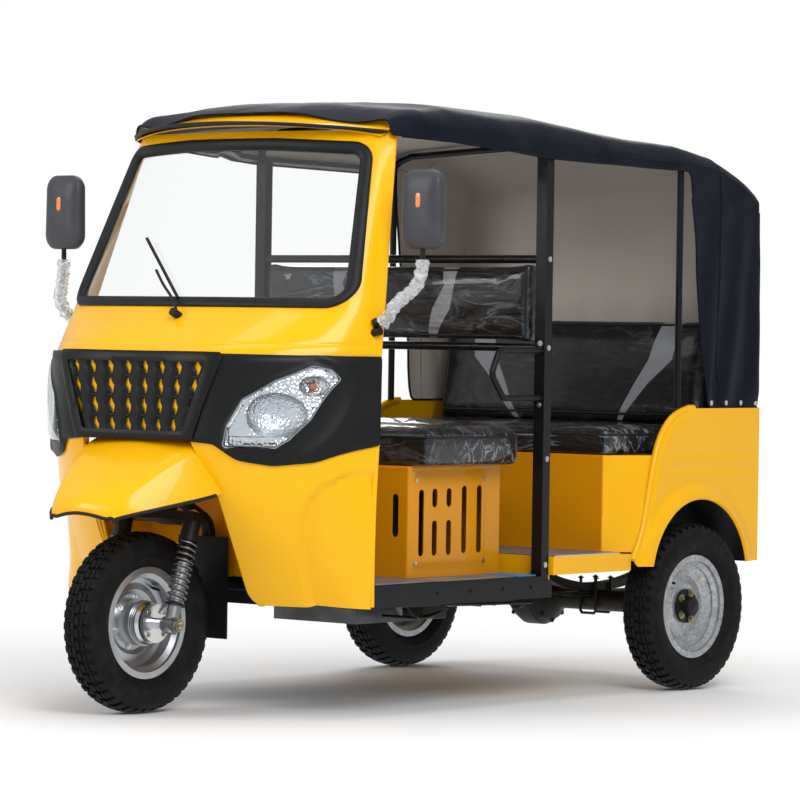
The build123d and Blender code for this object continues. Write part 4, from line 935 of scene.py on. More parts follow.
FILM_SIDES, FILM_ROWS = 14, 28
for side, word in SIDES:
    middle = Vector((side * 0.735, MIRROR_Y, MIRROR_Z))
    housing = pillow("mirror_housing_" + word, middle, MIRROR_HALF, MIRROR_TALL, 0.026, MIRROR_DEEP, 0.040,
                     mirror_plastic)
    fitted(settle(housing, 60), "black_plastic", *(["mirrors"] if side > 0 else []))
    pane = pillow("mirror_pane_" + word, middle + Vector((0, MIRROR_DEEP, 0)), MIRROR_HALF - 0.010,
                  MIRROR_TALL - 0.010, -0.0005, 0.0012, 0.032, mirror_glass)
    fitted(pane, "polished_alloy")
    spot = pillow("mirror_reflector_" + word, middle + Vector((side * 0.002, -0.0215, 0.026)),
                  0.0125, 0.030, 0.005, 0.003, 0.012, reflector)
    fitted(spot, "red_lens")
    bracket = skin_spot(side * 0.606, 1.172, 0.004)
    stem = [bracket, bracket + Vector((side * 0.030, -0.006, 0.006)), (side * 0.690, NOSE_Y + 0.372, 1.232),
            (side * 0.722, NOSE_Y + 0.408, 1.275), (side * 0.735, MIRROR_Y, 1.330),
            (side * 0.735, MIRROR_Y, MIRROR_Z - MIRROR_TALL + 0.012)]
    stem_line = eased(stem, 36)
    fitted(round_bars("mirror_arm_" + word, [stem_line], 0.008, black_paint), "black_steel")
    ripple = random.Random(4 + side)
    wrap = []
    for k, point in enumerate(stem_line[3:3 + FILM_ROWS]):
        run = Vector(stem_line[k + 4] - stem_line[k + 3]).normalized()
        one = run.cross(Vector((0, 1, 0))).normalized()
        two = run.cross(one)
        for step in range(FILM_SIDES):
            angle = step * math.tau / FILM_SIDES
            reach = 0.0160 + 0.0060 * ripple.random() + 0.003 * math.sin(k * 1.7 + step)
            wrap.append(Vector(point) + (one * math.cos(angle) + two * math.sin(angle)) * reach)
    faces = grid_faces(FILM_ROWS, FILM_SIDES, loop=True)
    faces += [tuple(range(FILM_SIDES)), tuple(range((FILM_ROWS - 1) * FILM_SIDES, FILM_ROWS * FILM_SIDES))]
    film = mesh_piece("mirror_arm_film_" + word, wrap, faces, packing_film, smooth=False)
    fitted(facing_out(film), "glass")
    clamps = [[bracket + Vector(shift) for shift in pair] for pair in (
        ((-side * 0.004, 0.012, -0.026), (side * 0.004, -0.016, 0.010)),
        ((-0.022, -0.012, -0.030), (0.022, -0.012, -0.022)))]
    fitted(round_bars("mirror_clamp_" + word, clamps, 0.013, black_paint, sides=6), "black_steel")

# ---------------------------------------------------------------- tyres
# Cross-ply tyres of black natural rubber, cured in a mould: tall lugs on both shoulders,
# a zigzag pair of blocks down the middle, and thin raised rings on the walls.
FRONT_Y, REAR_Y, TRACK_HALF = -1.029, 0.926, 0.5975
TYRE_R, TREAD_DEEP, TREAD_HALF = 0.271, 0.0085, 0.052
# Columns: word in the names of pieces, body, node of the tyre, middle of the wheel.
WHEELS = [("front", "front_wheel", "front_tyre", (0.0, FRONT_Y, TYRE_R)),
          ("rear_left", "rear_wheel_left", "rear_tyre_left", (TRACK_HALF, REAR_Y, TYRE_R)),
          ("rear_right", "rear_wheel_right", "rear_tyre_right", (-TRACK_HALF, REAR_Y, TYRE_R))]
tyre_rubber, tree, shader = new_finish("cured_tyre_rubber", Roughness=0.72, Specular_IOR_Level=0.18)
place = add_node(tree, "TexCoord").outputs["Object"]
dust = add_node(tree, "TexNoise", {"Vector": place, "Scale": 26.0, "Detail": 5.0})
fall = add_node(tree, "MapRange", {0: dust, 1: 0.42, 2: 0.72})
tone = add_node(tree, "Mix", {"Factor": fall, "A": linear("#0A0A0B"), "B": linear("#191817")},
                data_type="RGBA")
grain = add_node(tree, "TexNoise", {"Vector": place, "Scale": 700.0, "Detail": 1.0})
bump = add_node(tree, "Bump", {"Height": grain, "Strength": 0.25, "Distance": 0.0008})
plug(shader, {"Base Color": tone, "Normal": bump})


def lathe(name, outline, middle, finish, steps=96, angle=35):
    """A piece turned about a line across the vehicle: outline of (across, radius) points."""
    turns = [step * math.tau / steps for step in range(steps)]
    points = [(middle[0] + x, middle[1] + r * math.sin(turn), middle[2] + r * math.cos(turn))
              for turn in turns for x, r in outline]
    faces = grid_faces(steps, len(outline), loop=True, ring=True)
    return settle(facing_out(mesh_piece(name, points, faces, finish)), angle)


def crown(x):
    """The tread's radius at a distance across from its middle."""
    return TYRE_R - 0.0095 * (abs(x) / TREAD_HALF) ** 2.2


half_line = [(0.0388, 0.1530), (0.0388, 0.1690), (0.0440, 0.1745), (0.0520, 0.1830), (0.0585, 0.1960),
             (0.0600, 0.1968), (0.0608, 0.1990), (0.0602, 0.2010), (0.0618, 0.2100), (0.0622, 0.2230),
             (0.0612, 0.2290), (0.0618, 0.2300), (0.0614, 0.2312), (0.0602, 0.2320), (0.0575, 0.2440),
             (0.0520, 0.2560)]
half_line += [(x, crown(x) - TREAD_DEEP) for x in (0.046, 0.036, 0.024, 0.012, 0.0)]
tyre_line = half_line + [(-x, r) for x, r in reversed(half_line[:-1])]
# Block outlines for one pitch, as (across, along the tread) points in millimetres.
PITCH_COUNT = 46
PITCH = math.tau * TYRE_R / PITCH_COUNT
BLOCKS = [[(2, -15), (13, -17), (17, -6), (14, 7), (3, 13), (1, 2)],
          [(19, -13), (30, -17), (32, 2), (29, 9), (21, 6), (22, -5)],
          [(34, -10), (50, -13), (50, 9), (33, 10), (35, 0)]]
LUG_EDGE, LUG_FOOT = 50, (0.0598, 0.2375)    # lugs end at this width (mm), and their feet lie on the wall (m)


def tread_pitch():
    """One pitch of the tread: blocks with chamfered tops, standing on the carcass."""
    points, faces = [], []
    for outline in BLOCKS:
        for side in (1, -1):
            mean = np.mean(outline, axis=0)
            first, count = len(points), len(outline)
            for inset, drop in ((0.0, TREAD_DEEP + 0.003), (0.0, 0.0016), (0.0013, 0.0)):
                for x, s in outline:
                    pull = np.array([x, s]) - mean
                    pull = pull / np.linalg.norm(pull) * inset * 1000
                    across, along = (x - pull[0]) / 1000, (s - pull[1]) / 1000 + PITCH * (side < 0) / 2
                    reach = crown(across) - drop
                    if x >= LUG_EDGE and drop > TREAD_DEEP:
                        across, reach = LUG_FOOT
                    turn = along / TYRE_R
                    points.append((side * across, reach * math.sin(turn), reach * math.cos(turn)))
            faces += grid_faces(3, count, loop=True, first=first)
            faces += [tuple(range(first, first + count)), tuple(range(first + 2 * count, first + 3 * count))]
    return facing_out(mesh_piece("tread_pitch", points, faces, tyre_rubber, smooth=False))


ring_tree, given = group_tree("ring_of_copies", ("Count", "Int", 12), ("Finish", "Material", None))
spots = add_node(ring_tree, "GeometryNodePoints", {"Count": given.outputs["Count"]})
number = add_node(ring_tree, "GeometryNodeInputIndex")
step = add_node(ring_tree, "Math", {0: math.tau, 1: given.outputs["Count"]}, operation="DIVIDE")
turn = add_node(ring_tree, "Math", {0: number, 1: step}, operation="MULTIPLY")
spin = add_node(ring_tree, "CombineXYZ", {"X": turn})
copies = add_node(ring_tree, "GeometryNodeInstanceOnPoints",
                  {"Points": spots, "Instance": given.outputs["Geometry"], "Rotation": spin})
close_tree(ring_tree, copies, given)

for word, body, node, hub in WHEELS:
    fitted(lathe("carcass_" + word, tyre_line, hub, tyre_rubber, 120), "tyre", node, body=body)
    tread = grown("tread_" + word, tread_pitch(), ring_tree, Count=PITCH_COUNT, Finish=tyre_rubber)
    fitted(moved(tread, Matrix.Translation(hub)), "tyre", body=body)

# ---------------------------------------------------------------- rims, hubs and brakes
# Pressed steel rims: the front one is sprayed silver, the rear pair are hot-dip zinc with
# its spangle. Hubs and drums are cast iron painted black; the front hub is bare turned alloy.


def metal(name, dark, light, rough, metallic=1.0, cells=0.0):
    """A metal finish: tone and gloss wander, and a zinc coat shows its spangle as cells."""
    made, tree, shader = new_finish(name, Metallic=metallic)
    place = add_node(tree, "TexCoord").outputs["Object"]
    drive = add_node(tree, "TexNoise", {"Vector": place, "Scale": 9.0, "Detail": 4.0})
    if cells:
        spangle = add_node(tree, "TexVoronoi", {"Vector": place, "Scale": cells})
        grey = add_node(tree, "RGBToBW", {"Color": spangle.outputs["Color"]})
        drive = add_node(tree, "Math", {0: drive, 1: grey}, operation="MULTIPLY")
    tone = add_node(tree, "Mix", {"Factor": drive, "A": linear(dark), "B": linear(light)}, data_type="RGBA")
    matt = add_node(tree, "MapRange", {0: drive, 3: rough * 1.25, 4: rough * 0.75})
    plug(shader, {"Base Color": tone, "Roughness": matt})
    return made


def dressed(finish, *nodes, bevel=0.0):
    """Gives CAD nodes their finish, and eases their edges where a bevel width is given."""
    for node in nodes:
        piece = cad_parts[node]
        piece.data.materials.clear()
        piece.data.materials.append(finish)
        if bevel:
            ease = piece.modifiers.new("eased_edges", "BEVEL")
            ease.width, ease.segments, ease.limit_method = bevel, 2, "ANGLE"
            ease.angle_limit, ease.harden_normals = math.radians(35), False


silver_spray = metal("aluminium_spray", "#8E9093", "#C2C4C7", 0.32, metallic=0.85)
zinc_coat = metal("hot_dip_zinc", "#8F9193", "#D8DADC", 0.38, metallic=0.75, cells=110.0)
turned_alloy = metal("turned_alloy", "#B4B6B9", "#E4E5E7", 0.24)
iron_paint = moulded_plastic("black_chassis_paint", "#0E0F10", "#1C1C1D", 0.42)
zinc_bolts = metal("yellow_passivated_zinc", "#6F6546", "#BDB287", 0.34)
bright_bolts = metal("bright_zinc_bolts", "#9C9EA0", "#E0E1E3", 0.26)
dressed(silver_spray, "front_rim")
dressed(zinc_coat, "rear_rim_left", "rear_rim_right")
dressed(turned_alloy, "front_hub", "front_axle")
dressed(iron_paint, "rear_hub_left", "rear_hub_right")

bolt_tree, given = group_tree("bolt_heads", ("Radius", "Float", 0.006), ("Height", "Float", 0.005),
                              ("Finish", "Material", None))
# A bolt's parts.  Columns: sides, share of the radius, share of the height.
BOLT_PARTS = [(12, 0.5, 2.0), (20, 1.45, 0.5), (6, 1.0, 1.0)]
both = add_node(bolt_tree, "GeometryNodeJoinGeometry")
for sides, wide, tall in BOLT_PARTS:
    radius = add_node(bolt_tree, "Math", {0: given.outputs["Radius"], 1: wide}, operation="MULTIPLY")
    depth = add_node(bolt_tree, "Math", {0: given.outputs["Height"], 1: tall}, operation="MULTIPLY")
    plug(both, {0: add_node(bolt_tree, "GeometryNodeMeshCylinder",
                            {"Vertices": sides, "Radius": radius, "Depth": depth})})
facing = add_node(bolt_tree, "GeometryNodeInputNamedAttribute", {"Name": "facing"}, data_type="FLOAT_VECTOR")
aim = add_node(bolt_tree, "FunctionNodeAlignRotationToVector", {"Vector": facing}, axis="Z")
copies = add_node(bolt_tree, "GeometryNodeInstanceOnPoints",
                  {"Points": given.outputs["Geometry"], "Instance": both, "Rotation": aim})
close_tree(bolt_tree, copies, given)


def bolts(name, spots, radius, height, finish, body="body", slot="polished_alloy"):
    """Hexagon nuts on their washers and studs at (place, facing) spots."""
    mesh = bpy.data.meshes.new(name)
    mesh.from_pydata([tuple(map(float, place)) for place, _ in spots], [], [])
    facing = mesh.attributes.new("facing", "FLOAT_VECTOR", "POINT")
    facing.data.foreach_set("vector", [float(c) for _, way in spots for c in way])
    made = grown(name, linked(name, mesh), bolt_tree, Radius=radius, Height=height, Finish=finish)
    return fitted(made, slot, body=body)


def around(middle, x, radius, count, start=0.0):
    """Points spread round an axle, x to one side of its middle."""
    turns = [start + k * math.tau / count for k in range(count)]
    return [(middle[0] + x, middle[1] + radius * math.sin(turn), middle[2] + radius * math.cos(turn))
            for turn in turns]


CAP = [(0.040, 0.0), (0.0445, 0.001), (0.0445, 0.019), (0.0425, 0.0225), (0.036, 0.0235), (0.036, 0.0)]
for side, word in SIDES:
    hub, wheel = Vector((side * TRACK_HALF, REAR_Y, TYRE_R)), "rear_wheel_" + word
    spots = [(p, (side, 0, 0)) for p in around(hub, side * 0.0195, 0.044, 5, 0.3)]
    bolts("wheel_nuts_" + word, spots, 0.0095, 0.009, zinc_bolts, wheel)
    cap = lathe("grease_cap_" + word, [(side * x, r) for x, r in CAP], hub, iron_paint, 40)
    fitted(cap, "black_iron", body=wheel)
    stem = [hub + Vector((side * 0.010, -0.098, 0.082)), hub + Vector((side * 0.034, -0.094, 0.078))]
    fitted(round_bars("valve_stem_" + word, [stem], 0.0042, moulded_rubber), "rubber", body=wheel)

hub = Vector((0.0, FRONT_Y, TYRE_R))
for k in range(4):
    x, r = 0.028 + 0.0075 * k, 0.0685 - 0.0008 * k
    line = [(x - 0.0012, r - 0.010), (x - 0.0012, r), (x + 0.0012, r), (x + 0.0012, r - 0.010)]
    fitted(lathe(f"hub_fin_{k}", line, hub, turned_alloy, 56), "polished_alloy", body="front_wheel")
spots = [(p, (1, 0, 0)) for p in around(hub, -0.0205, 0.0735, 6, 0.2)]
bolts("front_rim_bolts", spots, 0.0062, 0.006, bright_bolts, "front_wheel")
stem = [hub + Vector((-0.012, 0.080, 0.098)), hub + Vector((0.018, 0.076, 0.094))]
fitted(round_bars("front_valve_stem", [stem], 0.0042, moulded_rubber), "rubber", body="front_wheel")

# ---------------------------------------------------------------- fork
# A raked telescopic fork: cast alloy sliders on painted tubes, an open coil spring on each
# leg, a welded yoke, and a tube handlebar with rubber grips and pressed levers.
RAKE, LEG_X = math.radians(16), 0.138
FORK = (Matrix.Translation((0, FRONT_Y, TYRE_R)) @ Matrix.Rotation(-RAKE, 4, "X"))
slider_alloy = metal("sand_cast_alloy", "#6E7073", "#9FA1A4", 0.46)
spring_steel = metal("zinc_spring_steel", "#4A4C4F", "#8F9194", 0.36)
dressed(slider_alloy, "fork_legs", bevel=0.0015)
dressed(iron_paint, "fork_yoke", bevel=0.002)
coil_tree, given = group_tree("coil_spring", ("Turns", "Float", 10.0), ("Coil radius", "Float", 0.026),
                              ("Wire radius", "Float", 0.004), ("Length", "Float", 0.2),
                              ("Finish", "Material", None))
coil_radius = given.outputs["Coil radius"]
helix = add_node(coil_tree, "GeometryNodeCurveSpiral", {
    "Resolution": 26, "Rotations": given.outputs["Turns"], "Start Radius": coil_radius,
    "End Radius": coil_radius, "Height": given.outputs["Length"]})
wire = add_node(coil_tree, "GeometryNodeCurvePrimitiveCircle",
                {"Radius": given.outputs["Wire radius"], "Resolution": 9})
coil = add_node(coil_tree, "GeometryNodeCurveToMesh",
                {"Curve": helix, "Profile Curve": wire, "Fill Caps": True})
close_tree(coil_tree, add_node(coil_tree, "GeometryNodeSetShadeSmooth", {0: coil}), given)
CUP = [(0.0, 0.0205), (0.0, 0.030), (0.007, 0.030), (0.007, 0.026), (0.003, 0.0255), (0.003, 0.0205)]
for side, word in SIDES:
    blank = mesh_piece("coil_" + word, [(0, 0, 0)], [], spring_steel)
    coil = grown("fork_coil_" + word, blank, coil_tree, Turns=10.5, Coil_radius=0.0264, Wire_radius=0.0043,
                 Length=0.188, Finish=spring_steel)
    moved(coil, FORK @ Matrix.Translation((side * LEG_X, 0, 0.068)))
    fitted(coil, "black_steel", *(["fork_springs"] if side > 0 else []), body="fork")
    for low, flip in ((0.0585, 1), (0.2625, -1)):
        cup = [(x * flip, r) for x, r in CUP]
        seat = lathe(f"spring_seat_{word}_{flip}", cup, (0, 0, 0), iron_paint, 36)
        moved(seat, FORK @ Matrix.Translation((side * LEG_X, 0, low)) @ Matrix.Rotation(-math.pi / 2, 4, "Y"))
        fitted(seat, "black_steel", body="fork")

up = FORK.to_3x3() @ Vector((0, 0, 1))
bolts("axle_nuts", [((side * 0.172, FRONT_Y, TYRE_R), (side, 0, 0)) for side in (1, -1)], 0.0125, 0.010,
      zinc_bolts, "fork")
bolts("yoke_bolts", [(FORK @ Vector((x, 0, 0.344)), up) for x in (-LEG_X, LEG_X)], 0.012, 0.008,
      bright_bolts, "fork")
plate_spots = [(p, (1, 0, 0)) for p in around(hub, 0.0795, 0.046, 4, 0.8)]
bolts("brake_plate_bolts", plate_spots, 0.0055, 0.005, zinc_bolts, "fork")
arm = [hub + Vector(shift) for shift in ((0.083, 0.018, 0.030), (0.086, 0.040, 0.060), (0.086, 0.050, 0.086))]
fitted(round_bars("brake_arm", [eased(arm, 10)], 0.0055, bright_bolts, sides=8), "polished_alloy",
       body="fork")

dressed(black_paint, "handlebar")
GRIP_RIBS = 14
for side, word in SIDES:
    outer, inner = (FORK @ Vector((side * x, y, 0.804)) for x, y in ((0.293, 0.1055), (0.180, 0.062)))
    length, run = (outer - inner).length, (outer - inner).normalized()
    line = [(0.0, 0.0115)]
    for k in range(GRIP_RIBS):
        line += [(0.004 + k * length / 14.6, 0.0165), (0.004 + (k + 0.62) * length / 14.6, 0.0172)]
    line += [(length, 0.0172), (length, 0.0115)]
    grip = lathe("grip_" + word, line, (0, 0, 0), moulded_rubber, 30)
    turn = Vector((1, 0, 0)).rotation_difference(run).to_matrix().to_4x4()
    fitted(moved(grip, Matrix.Translation(inner) @ turn), "rubber", body="fork")
    lever = [inner + run * along + Vector((0, y, z)) for along, y, z in (
        (0.0, -0.018, 0.002), (0.03, -0.052, -0.004), (0.075, -0.060, -0.008), (0.118, -0.052, -0.010))]
    fitted(round_bars("lever_" + word, [eased(lever, 20)], 0.0055, bright_bolts, sides=10), "polished_alloy",
           body="fork")
    pod = pillow("switch_pod_" + word, inner - run * 0.018 + Vector((0, -0.004, 0.0)), 0.024, 0.020, 0.020,
                 0.022, 0.008, black_paint, steps=4)
    fitted(settle(pod, 45), "black_plastic", body="fork")

# ---------------------------------------------------------------- frame and running gear
# A welded channel frame with side skirts, painted black; bare iron leaf springs, axle
# and prop shaft that have gone dull, and a sand cast engine with fins under the seat.
soot_iron = moulded_plastic("oiled_black_iron", "#141312", "#2A2724", 0.5)
engine_alloy = metal("sand_cast_engine_alloy", "#3E3F40", "#77787A", 0.52)
hot_steel = metal("heat_tinted_steel", "#3A332E", "#6E6259", 0.45)
dressed(iron_paint, "chassis_frame", bevel=0.002)
dressed(soot_iron, "rear_axle", "leaf_springs", "prop_shaft")
dressed(engine_alloy, "engine_block", bevel=0.006)
dressed(hot_steel, "muffler")
dressed(moulded_rubber, "mud_flap")


def corners_of(low, high):
    """The eight corners of a box."""
    return [(x, y, z) for x in (low[0], high[0]) for y in (low[1], high[1]) for z in (low[2], high[2])]


def eased_box(name, corners, finish, ease, segments):
    """A box from its eight corners, with its edges rounded."""
    faces = [(0, 1, 3, 2), (4, 6, 7, 5), (0, 4, 5, 1), (2, 3, 7, 6), (0, 2, 6, 4), (1, 5, 7, 3)]
    piece = mesh_piece(name, corners, faces, finish)
    with opened(piece) as shape:
        bmesh.ops.bevel(shape, geom=list(shape.edges), offset=ease, segments=segments, profile=0.5,
                        affect="EDGES")
        bmesh.ops.recalc_face_normals(shape, faces=shape.faces)
    return piece


def block(name, low, high, finish, ease=0.002, segments=2):
    """A rectangular piece with eased edges."""
    return settle(eased_box(name, corners_of(low, high), finish, ease, segments), 40)


DRUM_R = 0.078                       # radius of the bolt circles round the rear axle
for side, word in SIDES:
    x = side * 0.240
    for k, reach in enumerate((0.23, 0.15)):
        low_z = 0.2975 - 0.0075 * k
        leaf = block(f"helper_leaf_{word}_{k}", (x - 0.024, REAR_Y - reach, low_z),
                     (x + 0.024, REAR_Y + reach, low_z + 0.006), soot_iron, 0.001, 1)
        fitted(leaf, "black_iron")
    half = [(0.031, 0.350), (0.031, 0.238), (0.025, 0.230)]
    hoop = [(-dx, z) for dx, z in half] + half[::-1]
    loops = [[(x + dx, REAR_Y + dy, z) for dx, z in hoop] for dy in (-0.040, 0.040)]
    fitted(round_bars("spring_clamp_" + word, loops, 0.005, soot_iron, sides=8), "black_iron")
    spots = [((x + dx, REAR_Y + dy, 0.346), (0, 0, 1)) for dx in (-0.031, 0.031) for dy in (-0.040, 0.040)]
    bolts("spring_nuts_" + word, spots, 0.007, 0.006, soot_iron)
    spots = [(p, (-side, 0, 0)) for p in around((0, REAR_Y, TYRE_R), side * 0.5335, DRUM_R, 6, 0.2)]
    bolts("drum_plate_bolts_" + word, spots, 0.0055, 0.005, bright_bolts)
spots = [((0.062 * side, REAR_Y + DRUM_R * math.sin(a), TYRE_R + DRUM_R * math.cos(a)),
          (side * 0.6, math.sin(a) * 0.7, math.cos(a) * 0.7))
         for a in np.linspace(0, math.tau, 9)[:-1] for side in (1, -1)]
bolts("axle_case_bolts", spots, 0.006, 0.005, soot_iron, slot="black_iron")
spots = [((side * 0.6135, y, 0.364), (side, 0, 0)) for side in (1, -1) for y in (-0.36, -0.20, -0.04, 0.10)]
bolts("skirt_bolts", spots, 0.0055, 0.004, iron_paint, slot="black_steel")

fin = block("fin", (-0.088, 0, 0.318), (0.196, 0.0045, 0.462), engine_alloy, 0.001, 1)
fins = grown("engine_fins", fin, row_tree, Count=9, Step=(0.0, 0.0125, 0.0), Finish=engine_alloy)
fitted(moved(fins, Matrix.Translation((0, -0.205, 0))), "cast_alloy")
CLUTCH = (0, 0.020, 0.318)
cover_line = [(0.178, 0.0), (0.205, 0.0), (0.208, 0.040), (0.203, 0.066), (0.194, 0.073), (0.178, 0.075)]
fitted(lathe("clutch_cover", cover_line, CLUTCH, engine_alloy, 48), "cast_alloy")
bolts("clutch_cover_bolts", [(p, (1, 0, 0)) for p in around(CLUTCH, 0.1975, 0.066, 7)], 0.0045, 0.006,
      bright_bolts, slot="cast_alloy")
rods = [[(0.352, -0.600, 0.3445), (0.352, -0.330, 0.312), (0.335, -0.060, 0.300), (0.300, 0.120, 0.292),
         (0.288, 0.520, 0.283)],
        [(0.315, -0.160, 0.345), (0.330, -0.150, 0.290), (0.322, 0.045, 0.286)],
        [(0.205, -0.130, 0.262), (0.340, -0.128, 0.262)]]
rods = [eased(rod, 24) for rod in rods]
fitted(round_bars("brake_rods", rods, 0.0055, soot_iron, sides=8), "black_iron")
shaft_box = block("pedal_shaft_box", (0.245, -0.085, 0.255), (0.330, 0.035, 0.318), soot_iron, 0.006)
fitted(shaft_box, "black_iron")

# ---------------------------------------------------------------- dashboard
# A moulded binnacle behind the windscreen, with one round speed dial, two warning lights
# and a key barrel; the dial carries ticks and a needle and no figures.
dressed(mask_plastic, "dashboard", bevel=0.006)
TURN_TO_DRIVER = Matrix.Rotation(math.pi / 2, 4, "Z")
DIAL = Matrix.Translation((0.0, -0.909, 1.020)) @ TURN_TO_DRIVER
dial_white = moulded_plastic("dial_print_white", "#D9DAD6", "#F0F0EC", 0.4)
shell_line = [(-0.012, 0.0), (-0.012, 0.047), (0.010, 0.051), (0.014, 0.0505), (0.0145, 0.047),
              (0.004, 0.0445), (0.004, 0.0)]
fitted(moved(lathe("dial_shell", shell_line, (0, 0, 0), black_paint, 48), DIAL), "black_plastic")
tick = block("tick", (0.0043, -0.0007, 0.034), (0.0051, 0.0007, 0.042), dial_white, 0.0002, 1)
ticks = grown("dial_ticks", tick, ring_tree, Count=24, Finish=dial_white)
fitted(moved(ticks, DIAL), "black_plastic")
needle = block("dial_needle", (0.0055, -0.0009, -0.006), (0.0065, 0.0009, 0.037), amber, 0.0003, 1)
fitted(moved(needle, DIAL @ Matrix.Rotation(-2.2, 4, "X")), "black_plastic")
LIGHT_LINE = [(0.0, 0.0), (0.0, 0.0095), (0.006, 0.009), (0.0085, 0.006), (0.0095, 0.0)]
KEY_LINE = [(0.0, 0.0), (0.0, 0.014), (0.008, 0.0135), (0.010, 0.011), (0.010, 0.0)]
for name, line, x, z, finish, steps, slot in (
        ("warning_light_0", LIGHT_LINE, -0.082, 1.035, amber, 24, "red_lens"),
        ("warning_light_1", LIGHT_LINE, 0.082, 1.035, amber, 24, "red_lens"),
        ("key_barrel", KEY_LINE, 0.165, 0.985, turned_alloy, 28, "polished_alloy")):
    knob = lathe(name, line, (0, 0, 0), finish, steps)
    fitted(moved(knob, Matrix.Translation((x, -0.913, z)) @ TURN_TO_DRIVER), slot)

# ---------------------------------------------------------------- floors and mats
# Folded steel floors sprayed with the body, with loose ribbed rubber mats on them and a
# blue plastic kick strip at the end of the driver's side.
sealed_floor, tree, shader = new_finish("underseal_over_enamel", Roughness=0.45, Specular_IOR_Level=0.22)
place = add_node(tree, "TexCoord").outputs["Object"]
height = add_node(tree, "SeparateXYZ", {0: place}).outputs["Z"]
rough_edge = add_node(tree, "TexNoise", {"Vector": place, "Scale": 30.0, "Detail": 3.0})
level = add_node(tree, "Math", {0: rough_edge, 1: 0.012, 2: height}, operation="MULTIPLY_ADD")
above = add_node(tree, "MapRange", {0: level, 1: 0.4040, 2: 0.4065})
tone = add_node(tree, "Mix", {"Factor": above, "A": linear("#101112"), "B": linear("#EDA604")},
                data_type="RGBA")
plug(shader, {"Base Color": tone})
dressed(sealed_floor, "cab_floor", bevel=0.002)
dressed(cab_yellow, "passenger_floor", bevel=0.002)
mat_rubber, tree, shader, place, _ = clouded("ribbed_grey_mat", "#3A3D40", "#85898C", 12.0, 5.0,
                                             Roughness=0.34, Specular_IOR_Level=0.6)
# Ribs 8 mm apart, half as proud as they are wide.
ribs = add_node(tree, "TexWave", {"Vector": place, "Scale": 39.0}, bands_direction="Y").outputs["Fac"]
plug(shader, {"Normal": add_node(tree, "Bump", {"Height": ribs, "Strength": 0.5, "Distance": 0.002})})
blue_plastic = moulded_plastic("blue_kick_plastic", "#2A6FA8", "#3F8CC4", 0.35)
for name, low, high in (("driver_mat", (-0.603, -0.640, 0.3955), (0.603, -0.322, 0.3995)),
                        ("side_mat_left", (0.462, -0.318, 0.3955), (0.603, 0.040, 0.3995)),
                        ("side_mat_right", (-0.603, -0.318, 0.3955), (-0.462, 0.040, 0.3995)),
                        ("passenger_mat", (-0.596, 0.206, 0.4555), (0.596, 0.542, 0.4595))):
    fitted(block(name, low, high, mat_rubber, 0.0015, 1), "rubber")
for side, word in SIDES:
    low, high = sorted((side * 0.462, side * 0.603))
    strip = block("kick_strip_" + word, (low, 0.046, 0.3955), (high, 0.136, 0.401), blue_plastic, 0.002)
    fitted(strip, "black_plastic")
    low, high = sorted((side * 0.606, side * 0.621))
    edge = block("step_edge_" + word, (low, 0.206, 0.4550), (high, 0.545, 0.4585), turned_alloy, 0.001)
    fitted(edge, "polished_alloy")

# ---------------------------------------------------------------- driver's seat box
# A folded steel box over the engine, sprayed with the body; it is drawn in a darker, more
# orange copy of the cab's yellow, which is painted shade. Its sides and front carry louvre
# slots with round ends, long ones and broken ones, in a raised cover panel.
BOX_X, BOX_FRONT, BOX_REAR, BOX_LOW, BOX_TOP, BOX_SHEET = 0.450, -0.314, 0.136, 0.3955, 0.740, 0.0025
SLOT_HALF = 0.0125
SLOTS = [(-0.255, 0.463, 0.668), (-0.190, 0.612, 0.670), (-0.190, 0.463, 0.572), (-0.121, 0.612, 0.670),
         (-0.121, 0.463, 0.572), (-0.046, 0.466, 0.676), (0.028, 0.466, 0.676)]
COVER = (-0.290, 0.062, 0.432, 0.706)
# Painted shade: the cab's enamel in a darker, more orange tone, for the seat box and bench base, which stand
# in shade.
box_painted_shade_yellow = yellow_enamel("box_painted_shade_yellow_enamel", "#CB8206", "#D8920A")


def slot_line(y, low, high):
    """The outline of one round-ended slot."""
    turn = np.linspace(0, math.pi, 9)
    top = [(y + SLOT_HALF * math.cos(a), high - SLOT_HALF + SLOT_HALF * math.sin(a)) for a in turn]
    foot = [(y - SLOT_HALF * math.cos(a), low + SLOT_HALF - SLOT_HALF * math.sin(a)) for a in turn]
    return top + foot


def pressed_sheet(name, low, high, slots, cover, place):
    """A flat sheet with slots and a raised panel; `place` takes (along, up, out) into the vehicle."""
    outline = [(low, BOX_LOW), (high, BOX_LOW), (high, BOX_TOP), (low, BOX_TOP)]
    spots, faces = filled(divided(outline, 0.02), [slot_line(*slot) for slot in slots], 0.012)
    (along, up), (a, b, foot, top) = spots.T, cover
    edge = np.min([along - a, b - along, up - foot, top - up], axis=0)
    out = 0.005 * np.clip(edge / 0.009, 0, 1)
    piece = mesh_piece(name, [place(*spot, o) for spot, o in zip(spots, out)], faces, box_painted_shade_yellow)
    return fitted(facing_out(thicken(piece, BOX_SHEET, 1.0, 30)), "yellow_paint")


